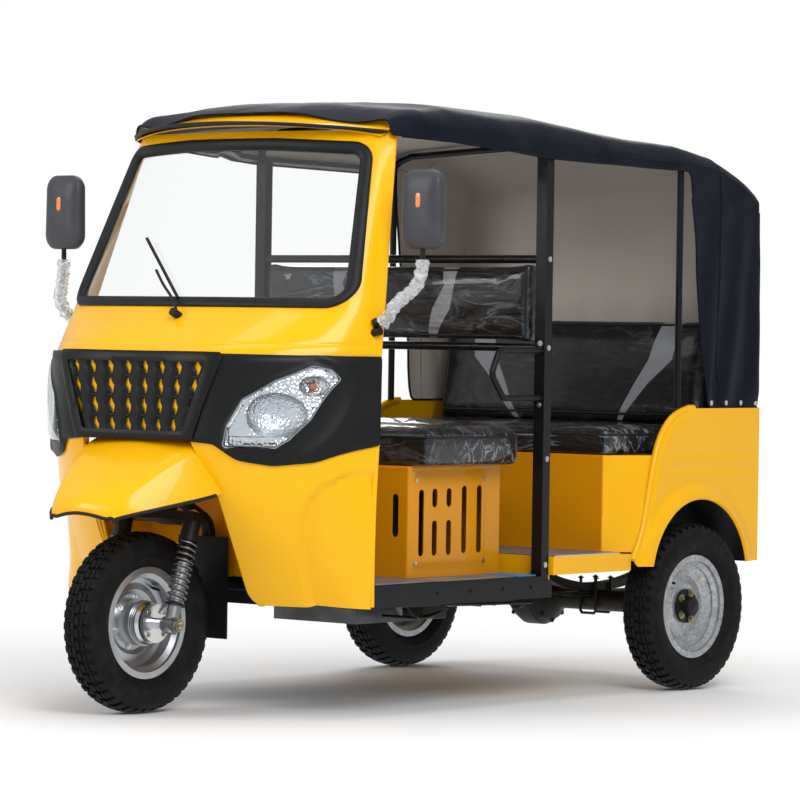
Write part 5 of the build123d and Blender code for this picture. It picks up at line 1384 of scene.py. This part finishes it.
near = pressed_sheet("seat_box_left", BOX_FRONT, BOX_REAR, SLOTS, COVER, lambda a, z, o: (BOX_X + o, a, z))
pressed_sheet("seat_box_right", BOX_FRONT, BOX_REAR, SLOTS, COVER, lambda a, z, o: (-BOX_X - o, a, z))
front_slots = [(side * x, 0.522, 0.655) for x in (0.405, 0.265) for side in (1, -1)]
pressed_sheet("seat_box_front", -BOX_X, BOX_X, front_slots, (-0.2, 0.2, 0.46, 0.70),
              lambda a, z, o: (a, BOX_FRONT - o, z))
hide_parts("driver_seat_box")
back = block("seat_box_back", (-BOX_X, BOX_REAR - 0.003, BOX_LOW), (BOX_X, BOX_REAR, BOX_TOP), box_painted_shade_yellow,
             0.001, 1)
fitted(back, "yellow_paint")
fitted(block("seat_box_top", (-BOX_X - 0.004, BOX_FRONT - 0.004, BOX_TOP - 0.012),
             (BOX_X + 0.004, BOX_REAR + 0.002, BOX_TOP), box_painted_shade_yellow, 0.004), "yellow_paint")
screws = [((BOX_X + 0.0075, y, z), (1, 0, 0)) for y in (-0.280, 0.052) for z in (0.442, 0.696)]
screws += [((-x, y, z), (-1, 0, 0)) for (x, y, z), _ in screws]
bolts("seat_box_screws", screws, 0.0045, 0.003, bright_bolts)

# ---------------------------------------------------------------- partition and handles
# A welded square tube frame behind the driver with two cross rails, painted gloss black
# and bolted to the body; a bent tube handle with a plastic sleeve on each pillar.
gloss_black = moulded_plastic("gloss_black_enamel", "#0B0B0D", "#141417", 0.22)
dressed(gloss_black, "partition_frame", bevel=0.003)
dressed(mask_plastic, "grab_handles")
spots = [((side * 0.6065, 0.176, z), (side, 0, 0)) for side in (1, -1) for z in (1.382, 1.106, 0.760, 0.430)]
spots += [((side * 0.589, 0.156, z), (0, -1, 0)) for side in (1, -1) for z in (1.120, 0.928)]
bolts("pillar_bolts", spots, 0.0062, 0.0045, bright_bolts)

# ---------------------------------------------------------------- rear body
# Pressed steel side panels with rolled wheel arches, a flat tail panel and the bench
# base, all sprayed with the cab, the bench base drawn in the darker copy of the yellow that
# is painted shade; the tail lamps are ribbed red plastic in black bezels.
ARCH_Y, ARCH_Z, ARCH_R, PANEL_X, PANEL_LOW, PANEL_REAR = 0.941, 0.355, 0.268, 0.634, 0.410, 1.2855
WAIST, LINER_X, LIP_OUT, SWAGES, SWAGE_OUT = 0.9148, 0.5105, 0.021, (0.690, 0.745), 0.0028
front_edge = eased([(0.612, 0.432), (0.640, 0.479), (0.680, 0.590), (0.712, 0.717), (0.748, 0.813),
                    (0.815, 0.884), (0.905, WAIST)], 46)
arch_turn = math.asin((PANEL_LOW - ARCH_Z) / ARCH_R)
arch_arc = [(ARCH_Y + ARCH_R * math.cos(a), ARCH_Z + ARCH_R * math.sin(a))
            for a in np.linspace(arch_turn, math.pi - arch_turn, 61)]
panel_line = [tuple(p) for p in front_edge] + [(PANEL_REAR, WAIST), (PANEL_REAR, PANEL_LOW)] + arch_arc
panel_line += [(0.622, PANEL_LOW), (0.611, 0.418)]
ridges = [z + d for z in SWAGES for d in (-0.010, -0.005, 0.0, 0.005, 0.010)]
spots, faces = filled(divided(panel_line, 0.014), (), 0.014, ridges)
away = np.hypot(spots[:, 0] - ARCH_Y, spots[:, 1] - ARCH_Z) - ARCH_R
swell = np.clip(1 - (away - 0.016) / 0.036, 0, 1)
near_edge = off_line(spots, front_edge)
out = LIP_OUT * swell * swell * (3 - 2 * swell) - 0.010 * np.clip(1 - near_edge / 0.016, 0, 1) ** 2
run = np.clip((near_edge - 0.035) / 0.03, 0, 1) * np.clip((PANEL_REAR - 0.045 - spots[:, 0]) / 0.03, 0, 1)
for z in SWAGES:
    out += SWAGE_OUT * run * np.exp(-((spots[:, 1] - z) / 0.006) ** 2)
WALL_XS = (PANEL_X + LIP_OUT - 0.004, 0.590, 0.550, LINER_X)
cap_spots, cap_faces = filled(divided(arch_arc, 0.02), (), 0.05)
for side, word in SIDES:
    panel_points = [(side * (PANEL_X + o), y, z) for (y, z), o in zip(spots, out)]
    panel = mesh_piece("rear_side_" + word, panel_points, faces, cab_yellow)
    if side > 0:
        panel.data.flip_normals()
    panel = thicken(panel, 0.003, -side)
    fitted(facing_out(panel), "yellow_paint", *(["rear_side_panels"] if side > 0 else []))
    edge_roll = [(side * (PANEL_X - 0.0125), y, z) for y, z in list(front_edge) + [(0.93, WAIST)]]
    arch_roll = [(side * WALL_XS[0], y, z) for y, z in arch_arc]
    fitted(round_bars("rear_edge_roll_" + word, [edge_roll], 0.0115, cab_yellow), "yellow_paint")
    fitted(round_bars("rear_arch_roll_" + word, [arch_roll], 0.0048, cab_yellow, sides=8), "yellow_paint")
    wall = [(side * x, y, z) for y, z in arch_arc for x in WALL_XS]
    quads = grid_faces(len(arch_arc), len(WALL_XS))
    quads += [tuple(len(wall) + v for v in face) for face in cap_faces]
    wall += [(side * LINER_X, y, z) for y, z in cap_spots]
    liner = facing_out(mesh_piece("wheel_liner_" + word, wall, quads, iron_paint))
    fitted(facing_out(thicken(liner, 0.002, 0.0)), "yellow_paint")
dressed(cab_yellow, "tail_panel", bevel=0.004)
# The bench base takes the darker copy of the yellow, which is painted shade.
dressed(box_painted_shade_yellow, "passenger_seat_base", bevel=0.002)
for side, word in SIDES:
    wing = [(side * 0.536, 0.5525, 0.4555), (side * 0.622, 0.630, 0.4555), (side * 0.622, 0.736, 0.764),
            (side * 0.536, 0.5525, 0.764), (side * 0.622, 0.668, 0.5675), (side * 0.536, 0.5525, 0.5675)]
    sheet = mesh_piece("bench_wing_" + word, wing, [(0, 1, 4, 5), (5, 4, 2, 3)], cab_yellow, smooth=False)
    fitted(facing_out(thicken(sheet, 0.0025, 0.0)), "yellow_paint")
ribbed_red, tree, shader = new_finish("ribbed_red_lens", Roughness=0.12, Coat_Weight=0.8, IOR=1.49)
place = add_node(tree, "TexCoord").outputs["Object"]
ribs = add_node(tree, "TexWave", {"Vector": place, "Scale": 55.0}, bands_direction="X").outputs["Fac"]
tone = add_node(tree, "Mix", {"Factor": ribs, "A": linear("#6E0A07"), "B": linear("#B3150D")},
                data_type="RGBA")
bump = add_node(tree, "Bump", {"Height": ribs, "Strength": 0.5, "Distance": 0.0015})
plug(shader, {"Base Color": tone, "Normal": bump})
dressed(ribbed_red, "tail_lamps", bevel=0.004)
LAMP_HALF_X, LAMP_HALF_Z = 0.048, 0.073
for side, word in SIDES:
    x, z = side * 0.5, 0.69
    bezel = [(x + a * LAMP_HALF_X, 1.2885, z + b * LAMP_HALF_Z)
             for a, b in ((-1, -1), (1, -1), (1, 1), (-1, 1))]
    rim = round_bars("tail_lamp_bezel_" + word, [bezel], 0.004, mask_plastic, closed=True, sides=8)
    fitted(rim, "black_plastic")
    strip = block("tail_lamp_amber_" + word, (x - 0.041, 1.2990, z + 0.024), (x + 0.041, 1.3006, z + 0.064),
                  amber, 0.0006, 1)
    fitted(strip, "red_lens")
plate_white = moulded_plastic("blank_plate_enamel", "#D8D6CC", "#E9E7DF", 0.3)
plate = block("number_plate", (-0.13, 1.2862, 0.485), (0.13, 1.2880, 0.635), plate_white, 0.0006)
fitted(plate, "polished_alloy")
bolts("plate_screws", [((x, 1.2885, 0.56), (0, 1, 0)) for x in (-0.075, 0.075)], 0.0045, 0.003, bright_bolts)
tail_spots = [((x, 1.2866, z), (0, 1, 0)) for x in (-0.585, 0.585) for z in (0.45, 0.60, 0.80, 0.89)]
bolts("tail_panel_screws", tail_spots, 0.005, 0.0035, bright_bolts)

# ---------------------------------------------------------------- seats
# Foam pads in black vinyl, sewn with a welt round the edge and still under their clear
# wrapping film, whose glints are painted as pale blue-white highlights along its creases;
# the backrests carry a pale grey lightning stripe on each side.


def stripe_edge(tree, height, stripe, column):
    """How far across one edge of a stripe lies at each height, as a curve through its rows."""
    low, high = stripe[0][0], stripe[-1][0]
    share = add_node(tree, "MapRange", {0: height, 1: low, 2: high})
    line = add_node(tree, "FloatCurve", {"Value": share})
    curve = line.mapping.curves[0]
    while len(curve.points) > 2:
        curve.points.remove(curve.points[-1])
    for index, row in enumerate(stripe):
        at = ((row[0] - low) / (high - low), row[column])
        if index < 2:
            curve.points[index].location = at
        else:
            curve.points.new(*at)
    for point in curve.points:
        point.handle_type = "VECTOR"
    line.mapping.update()
    return line


def filmed_vinyl(name, film, stripe=None):
    """Black vinyl under crinkled film with painted glints; stripe is a list of (height, from, to) across the
    back.
    """
    made, tree, shader = new_finish(name, Specular_IOR_Level=0.25, Coat_Weight=0.8 * film,
                                    Coat_Roughness=0.06, IOR=1.5)
    place = add_node(tree, "TexCoord").outputs["Object"]
    stretch = add_node(tree, "Mapping", {"Vector": place, "Rotation": (0.1, 0.15, 0.25),
                                         "Scale": (0.8, 3.4, 2.6)})
    creases = add_node(tree, "TexNoise", {"Vector": stretch, "Scale": 6.5, "Detail": 5.0, "Roughness": 0.55,
                                          "Distortion": 0.7})
    # Painted highlights: pale blue-white streaks along the film's creases, stronger in patches, stand in for
    # the sky reflected in the crinkled film.
    away = add_node(tree, "Math", {0: creases, 1: 0.5}, operation="SUBTRACT")
    near = add_node(tree, "Math", {0: away}, operation="ABSOLUTE")
    ridge = add_node(tree, "MapRange", {0: near, 1: 0.0, 2: 0.035, 3: 1.0, 4: 0.0})
    patch = add_node(tree, "TexNoise", {"Vector": place, "Scale": 3.4, "Detail": 2.0})
    spread = add_node(tree, "MapRange", {0: patch, 1: 0.42, 2: 0.62, 3: 0.15, 4: 1.0})
    haze = add_node(tree, "Math", {0: ridge, 1: spread}, operation="MULTIPLY")
    light = add_node(tree, "Math", {0: haze, 1: 0.62 * film}, operation="MULTIPLY")
    under = add_node(tree, "Mix", {"Factor": patch, "A": linear("#08090A"), "B": linear("#141518")},
                     data_type="RGBA")
    if stripe:
        axes = add_node(tree, "SeparateXYZ", {0: place}).outputs
        across = add_node(tree, "Math", {0: axes["X"]}, operation="ABSOLUTE")
        inner, outer = (stripe_edge(tree, axes["Z"], stripe, column) for column in (1, 2))
        past = add_node(tree, "Math", {0: across, 1: inner}, operation="GREATER_THAN")
        short = add_node(tree, "Math", {0: across, 1: outer}, operation="LESS_THAN")
        band = add_node(tree, "Math", {0: past, 1: short}, operation="MULTIPLY")
        under = add_node(tree, "Mix", {"Factor": band, "A": under, "B": linear("#83868A")}, data_type="RGBA")
    # Painted highlight: the pale blue-white of the film's reflections, laid over the vinyl along the creases.
    tone = add_node(tree, "Mix", {"Factor": light, "A": under, "B": linear("#B4BDCB")}, data_type="RGBA")
    matt = add_node(tree, "MapRange", {0: creases, 3: 0.22, 4: 0.46})
    # Vinyl grain is 0.5 mm; it is drawn 2 mm.
    grain = add_node(tree, "TexVoronoi", {"Vector": place, "Scale": 420.0})
    fine = add_node(tree, "Bump", {"Height": grain, "Strength": 0.12, "Distance": 0.0006})
    crumple = add_node(tree, "Bump", {"Height": creases, "Strength": 0.35 + 0.65 * film,
                                      "Distance": 0.03 * film + 0.006, "Normal": fine})
    plug(shader, {"Base Color": tone, "Roughness": matt, "Normal": crumple})
    return made


DRIVER_STRIPE = [(1.115, 0.135, 0.158), (1.225, 0.165, 0.236), (1.300, 0.212, 0.252), (1.375, 0.190, 0.262)]
BENCH_STRIPE = [(0.860, 0.205, 0.224), (0.990, 0.275, 0.330), (1.070, 0.322, 0.418), (1.225, 0.360, 0.440)]
pad_vinyl = filmed_vinyl("vinyl_under_film", 1.0)
driver_back_vinyl = filmed_vinyl("striped_vinyl_under_film", 0.75, DRIVER_STRIPE)
bench_back_vinyl = filmed_vinyl("striped_vinyl", 0.15, BENCH_STRIPE)
welt_vinyl = moulded_plastic("welt_vinyl", "#121315", "#26282C", 0.34)


def foam_pad(name, corners, finish, rest, cap, ease, node, quilt=()):
    """A pad blown up from its cut shape by cloth pressure, held flat where it rests.

    corners: eight points; rest: (axis, side, level) planes that the pad may not pass;
    quilt: (axis, place, depth, width) of the furrows sewn across it.
    """
    piece = eased_box(name, corners, finish, ease, 3)
    grid = piece.modifiers.new("grid", "REMESH")
    grid.mode, grid.voxel_size, grid.use_smooth_shade = "VOXEL", 0.010, True
    start = read_table(settle(piece))
    cloth = piece.modifiers.new("pressure", "CLOTH")
    cloth.settings.quality, cloth.settings.mass = 4, 0.3
    cloth.settings.use_pressure, cloth.settings.uniform_pressure_force = True, 4.0
    cloth.settings.effector_weights.gravity = 0.0
    cloth.point_cache.frame_start, cloth.point_cache.frame_end = 1, 20
    for moment in range(1, 21):
        bpy.context.scene.frame_set(moment)
    blown = read_table(piece.evaluated_get(bpy.context.evaluated_depsgraph_get()))
    piece.modifiers.clear()
    bpy.context.scene.frame_set(1)
    shift = blown - start
    size = np.linalg.norm(shift, axis=1)
    blown = start + shift * (np.minimum(size, cap) / np.maximum(size, 1e-9))[:, None]
    for axis, side, level in rest:
        blown[:, axis] = np.minimum(blown[:, axis], level) if side > 0 else np.maximum(blown[:, axis], level)
    for axis, at, depth, wide in quilt:
        on_top = start[:, 2] > start[:, 2].max() - 0.03
        blown[:, 2] -= depth * np.exp(-((start[:, axis] - at) / wide) ** 2) * on_top
    piece.data.vertices.foreach_set("co", blown.ravel())
    piece.data.update()
    fitted(smoothed(piece, 1, 80), "seat_vinyl", node)
    return piece


def welt(name, piece, path):
    """A sewn welt laid on a pad along a closed path."""
    tree = bvhtree.BVHTree.FromObject(piece, bpy.context.evaluated_depsgraph_get())
    line = [tree.find_nearest(Vector(p))[0] for p in path]
    fitted(round_bars(name, [line], 0.0042, welt_vinyl, closed=True, sides=8), "seat_vinyl")


def oblong(half, low, high, corner, steps):
    """A rounded oblong loop, in flat points no more than 30 mm apart."""
    return divided(rounded([(-half, low, corner), (half, low, corner), (half, high, corner),
                            (-half, high, corner)], steps), 0.03)


driver_pad = foam_pad("driver_pad", corners_of((-0.548, -0.331, 0.7415), (0.548, 0.144, 0.846)), pad_vinyl,
                      [(2, -1, 0.7408), (1, 1, 0.154), (1, -1, -0.3405)], 0.016, 0.022, "driver_cushion",
                      [(0, 0.0, 0.006, 0.012), (0, 0.28, 0.005, 0.012), (0, -0.28, 0.005, 0.012)])
welt("driver_pad_welt", driver_pad, [(x, y, 0.838) for x, y in oblong(0.565, -0.350, 0.160, 0.05, 6)])
bench_pad = foam_pad("bench_pad", corners_of((-0.572, 0.534, 0.7665), (0.572, 1.142, 0.846)), pad_vinyl,
                     [(2, -1, 0.7658), (1, 1, 1.149), (1, -1, 0.525)], 0.014, 0.020, "passenger_cushion",
                     [(0, 0.0, 0.005, 0.012), (0, 0.30, 0.004, 0.012), (0, -0.30, 0.004, 0.012)])
welt("bench_pad_welt", bench_pad, [(x, y, 0.838) for x, y in oblong(0.59, 0.515, 1.155, 0.05, 6)])
driver_back = foam_pad("driver_back", corners_of((-0.554, 0.151, 1.1205), (0.554, 0.201, 1.3675)),
                       driver_back_vinyl, [(2, -1, 1.1197), (2, 1, 1.3683), (0, 1, 0.5585), (0, -1, -0.5585)],
                       0.010, 0.014, "driver_backrest")
welt("driver_back_welt", driver_back, [(x, 0.140, z) for x, z in oblong(0.540, 1.134, 1.354, 0.02, 5)])
corners = [(x, y + (0.062 if z > 1.0 and y < 1.1 else 0), z)
           for x, y, z in corners_of((-0.568, 1.066, 0.846), (0.568, 1.204, 1.208))]
bench_back = foam_pad("bench_back", corners, bench_back_vinyl, [(1, 1, 1.211), (2, -1, 0.838)], 0.014, 0.014,
                      "passenger_backrest")
ring = [(x, 1.058 + 0.062 * (z - 0.868) / 0.34, z) for x, z in oblong(0.550, 0.886, 1.190, 0.03, 5)]
welt("bench_back_welt", bench_back, ring)

# ---------------------------------------------------------------- canvas hood
# One sheet of coated canvas, navy black outside and grey inside, stretched over three bent
# bows and two rails, laced down at the waist; it hangs as a valance over the doorways.
# Stations.  Columns: y, half width, side height, half width and height of the top's shoulder, crown.
HOOD = [(-0.588, 0.524, 1.760, 0.480, 1.784, 1.8095), (-0.545, 0.540, 1.768, 0.486, 1.799, 1.826),
        (-0.440, 0.570, 1.777, 0.494, 1.823, 1.850), (-0.279, 0.596, 1.772, 0.510, 1.836, 1.860),
        (0.176, 0.618, 1.748, 0.530, 1.820, 1.852), (0.866, 0.626, 1.712, 0.540, 1.768, 1.796),
        (1.141, 0.628, 1.662, 0.548, 1.712, 1.732), (1.2857, 0.628, 1.588, 0.560, 1.626, 1.636)]
HOOD_WAIST, QUARTER_Y, QUARTER_Z, QUARTER_FOOT_Y, HOOD_REAR = 0.9155, 0.891, 1.684, 1.001, 1.2857
VALANCE = [(-0.588, 1.742), (-0.279, 1.726), (0.176, 1.694), (0.891, 1.684)]
stations = list(np.linspace(-0.588, 0.176, 20)) + list(np.linspace(0.176, QUARTER_Y, 15))[1:]
stations += list(np.linspace(QUARTER_Y, 1.264, 10))[1:] + [HOOD_REAR]
first_quarter = stations.index(QUARTER_Y)
stations, table = np.array(stations), np.array(HOOD)
half_widths, side_heights, top_halves, top_heights, crowns = (
    spline_through(table[:, 0], table[:, k], stations) for k in range(1, 6))
ARC_COUNT, STRIP_ROWS, QUARTER_ROWS = 41, 3, 14
arcs = []
for half, side_z, top_half, top_z, crown_z in zip(half_widths, side_heights, top_halves, top_heights, crowns):
    right = [(half, side_z), ((half + top_half) / 2 + 0.016, (side_z + top_z) / 2 + 0.012), (top_half, top_z),
             (top_half * 0.5, crown_z - (crown_z - top_z) * 0.25)]
    arcs.append(eased([(-x, z) for x, z in right] + [(0.0, crown_z)] + right[::-1], ARC_COUNT))
points, faces = [], []


def spot(x, y, z):
    """Adds a point of the sheet, and gives its number."""
    points.append((x, y, z))
    return len(points) - 1


def sew(rows):
    """Faces over a grid of point numbers."""
    for a, b in zip(rows, rows[1:]):
        faces.extend((a[k], a[k + 1], b[k + 1], b[k]) for k in range(len(a) - 1))


sew([[spot(x, y, z) for x, z in arc] for y, arc in zip(stations, arcs)])
valance_z = np.interp(stations, [p[0] for p in VALANCE], [p[1] for p in VALANCE])
strip_foot = np.minimum(valance_z, side_heights - 0.02)
strip_shares = np.linspace(0, 1, STRIP_ROWS + 1)
quarter_shares = np.linspace(0, 1, QUARTER_ROWS + 1)[1:]
wall_tops = np.minimum(QUARTER_Z, side_heights - 0.02)
for side in (1, -1):
    strip = [[spot(side * (half + 0.004 * share * (y < QUARTER_Y)), y, side_z + (foot - side_z) * share)
              for y, half, side_z, foot in zip(stations, half_widths, side_heights, strip_foot)]
             for share in strip_shares]
    sew(strip)
    quarter = [strip[-1][first_quarter:]]
    for share in quarter_shares:
        lean = (QUARTER_FOOT_Y - QUARTER_Y) * share
        quarter.append([spot(side * half, y + lean * (HOOD_REAR - y) / (HOOD_REAR - QUARTER_Y),
                             top + (HOOD_WAIST - top) * share)
                        for y, half, top in list(zip(stations, half_widths, wall_tops))[first_quarter:]])
    sew(quarter)
end_side, end_top = side_heights[-1], wall_tops[-1]
back_z = [end_side + (end_top - end_side) * share for share in strip_shares]
back_z += [end_top + (HOOD_WAIST - end_top) * share for share in quarter_shares]
back_shares = [(end_side - z) / (end_side - HOOD_WAIST) for z in back_z]
sew([[spot(x, HOOD_REAR, z + (HOOD_WAIST - z) * share) for x, z in arcs[-1]] for share in back_shares])

canvas, tree, shader, place, fade = clouded("coated_navy_canvas", "#080B12", "#161A23", 3.0, 5.0,
                                            Specular_IOR_Level=0.12, Specular_Tint=linear("#C3CEEC"))
# Threads are 0.5 mm apart; they are drawn 3 mm apart.
warp = add_node(tree, "TexWave", {"Vector": place, "Scale": 105.0}, bands_direction="Y").outputs["Fac"]
weft = add_node(tree, "TexWave", {"Vector": place, "Scale": 105.0}, bands_direction="DIAGONAL").outputs["Fac"]
woven = add_node(tree, "Math", {0: warp, 1: weft}, operation="ADD")
thread = add_node(tree, "Bump", {"Height": woven, "Strength": 0.12, "Distance": 0.0006})
crumple = add_node(tree, "TexNoise", {"Vector": place, "Scale": 7.0, "Detail": 4.0, "Distortion": 0.8})
bump = add_node(tree, "Bump", {"Height": crumple, "Strength": 0.45, "Distance": 0.012, "Normal": thread})
plug(shader, {"Roughness": add_node(tree, "MapRange", {0: fade, 3: 0.40, 4: 0.62}), "Normal": bump})
canvas_back, tree, shader, place, _ = clouded("uncoated_canvas_lining", "#B4ACA3", "#CAC2B9", 2.2,
                                              Roughness=0.85, IOR=1.45)
threads = add_node(tree, "TexWave", {"Vector": place, "Scale": 105.0}, bands_direction="Z").outputs["Fac"]
plug(shader, {"Normal": add_node(tree, "Bump", {"Height": threads, "Strength": 0.15, "Distance": 0.0006})})

hood = mesh_piece("hood_sheet", points, faces, canvas)
with opened(hood) as shape:
    bmesh.ops.remove_doubles(shape, verts=shape.verts, dist=1e-4)
    bmesh.ops.recalc_face_normals(shape, faces=shape.faces)
    roof = max(shape.faces, key=lambda f: f.calc_center_median().z)
    if roof.normal.z < 0:
        bmesh.ops.reverse_faces(shape, faces=shape.faces)
smoothed(hood, 2)
where, normals = read_table(hood), read_table(hood, "normal")
drift = np.array([noise.noise(Vector((x * 3.1, y * 3.1, z * 2.2))) for x, y, z in where])
crease = np.array([noise.noise(Vector((x * 11, y * 7, z * 9 + 4))) for x, y, z in where])
bowed = np.clip((-0.40 - where[:, 1]) / 0.188, 0, 1)
where[:, 1] += 0.085 * bowed * (where[:, 0] / 0.53) ** 2
x, y, z = where.T
BOWS = np.array([-0.440, -0.279, 0.176, 0.866, HOOD_REAR])
bay = np.searchsorted(BOWS, y).clip(1, len(BOWS) - 1)
share = (y - BOWS[bay - 1]) / (BOWS[bay] - BOWS[bay - 1])
roof = np.clip(normals[:, 2] * 1.6 - 0.5, 0, 1)
wall = np.clip((1.62 - z) / 0.5, 0, 1)
ripple = np.sin(math.tau * (y * 3.4 + np.abs(x) * 2.2) + drift * 5)
push = 0.0032 * ripple * (1 - roof) * (z > 1.6) - 0.0075 * np.sin(np.pi * share.clip(0, 1)) * roof
folds_y = np.sin(math.tau * (y / 0.125) + drift * 4 + (1.6 - z) * 1.5)
folds_x = np.sin(math.tau * (x / 0.170) + drift * 5 + (1.6 - z) * 1.2)
on_side, on_back = np.abs(normals[:, 0]) > 0.7, normals[:, 1] > 0.7
push += wall * (0.0065 * folds_y * on_side + 0.0055 * folds_x * on_back)
push += 0.0022 * crease
push = np.where(on_back & (push > 0.004), 0.004, push)
lace = np.clip((z - HOOD_WAIST) / 0.05, 0.35, 1)
push *= np.clip((y + 0.60) / 0.22, 0.12, 1)
where += normals * (push * np.where(z < 1.3, lace, 1))[:, None]
hood.data.vertices.foreach_set("co", where.ravel())
hood.data.update()
rims = open_rims(hood, lambda v: (round(v.co.z, 3), v.co.x))
hood.data.materials.append(canvas_back)
backing = hood.modifiers.new("lining", "SOLIDIFY")
backing.thickness, backing.offset, backing.material_offset, backing.use_even_offset = 0.0022, -1.0, 1, False
settle(hood, 80)
hems = fitted(round_bars("hood_hem", rims, 0.0038, canvas, closed=len(rims) == 1, sides=8), "canvas")
fitted(hood, "canvas", "canvas_hood")
skin = bvhtree.BVHTree.FromObject(hood, bpy.context.evaluated_depsgraph_get())


def on_hood(path):
    """A path laid on the hood's nearest points."""
    return [skin.find_nearest(Vector(p))[0] for p in path]


seams = [on_hood([(side * 0.66, y, 1.70 + 0.02 * math.cos(y)) for y in np.linspace(-0.585, 1.10, 90)])
         for side in (1, -1)]
half_arc = [(0.66, 1.5), (0.62, 1.78), (0.3, 1.86)]
arc = [(-0.66, 0.9)] + [(-x, z) for x, z in half_arc] + [(0, 1.87)] + half_arc[::-1] + [(0.66, 0.93)]
seams.append(on_hood([(x, 1.060, z) for x, z in eased(arc, 150)]))
seams += [on_hood([(side * 0.640, 1.296, z) for z in np.linspace(1.56, 0.925, 60)]) for side in (1, -1)]
seam_bars = fitted(round_bars("hood_seams", seams, 0.0026, canvas, sides=6), "canvas")
piping_grey = moulded_plastic("grey_piping_vinyl", "#8D8C88", "#B7B6B1", 0.4)
piping = [on_hood([(side * 0.632, QUARTER_Y + (QUARTER_FOOT_Y - QUARTER_Y) * s - 0.004,
                    QUARTER_Z + (HOOD_WAIST - QUARTER_Z) * s) for s in np.linspace(0.45, 0.985, 60)])
          for side in (1, -1)]
piping_bars = fitted(round_bars("quarter_piping", piping, 0.0032, piping_grey, sides=8), "canvas")
dressed(gloss_black, "hood_bows")
studs = [((side * 0.6300, y, HOOD_WAIST + 0.016), (side, 0, 0))
         for side in (1, -1) for y in np.linspace(1.02, 1.27, 4)]
studs += [((x, 1.2880, HOOD_WAIST + 0.016), (0, 1, 0)) for x in np.linspace(-0.55, 0.55, 9)]
bolts("hood_press_studs", studs, 0.006, 0.003, bright_bolts)
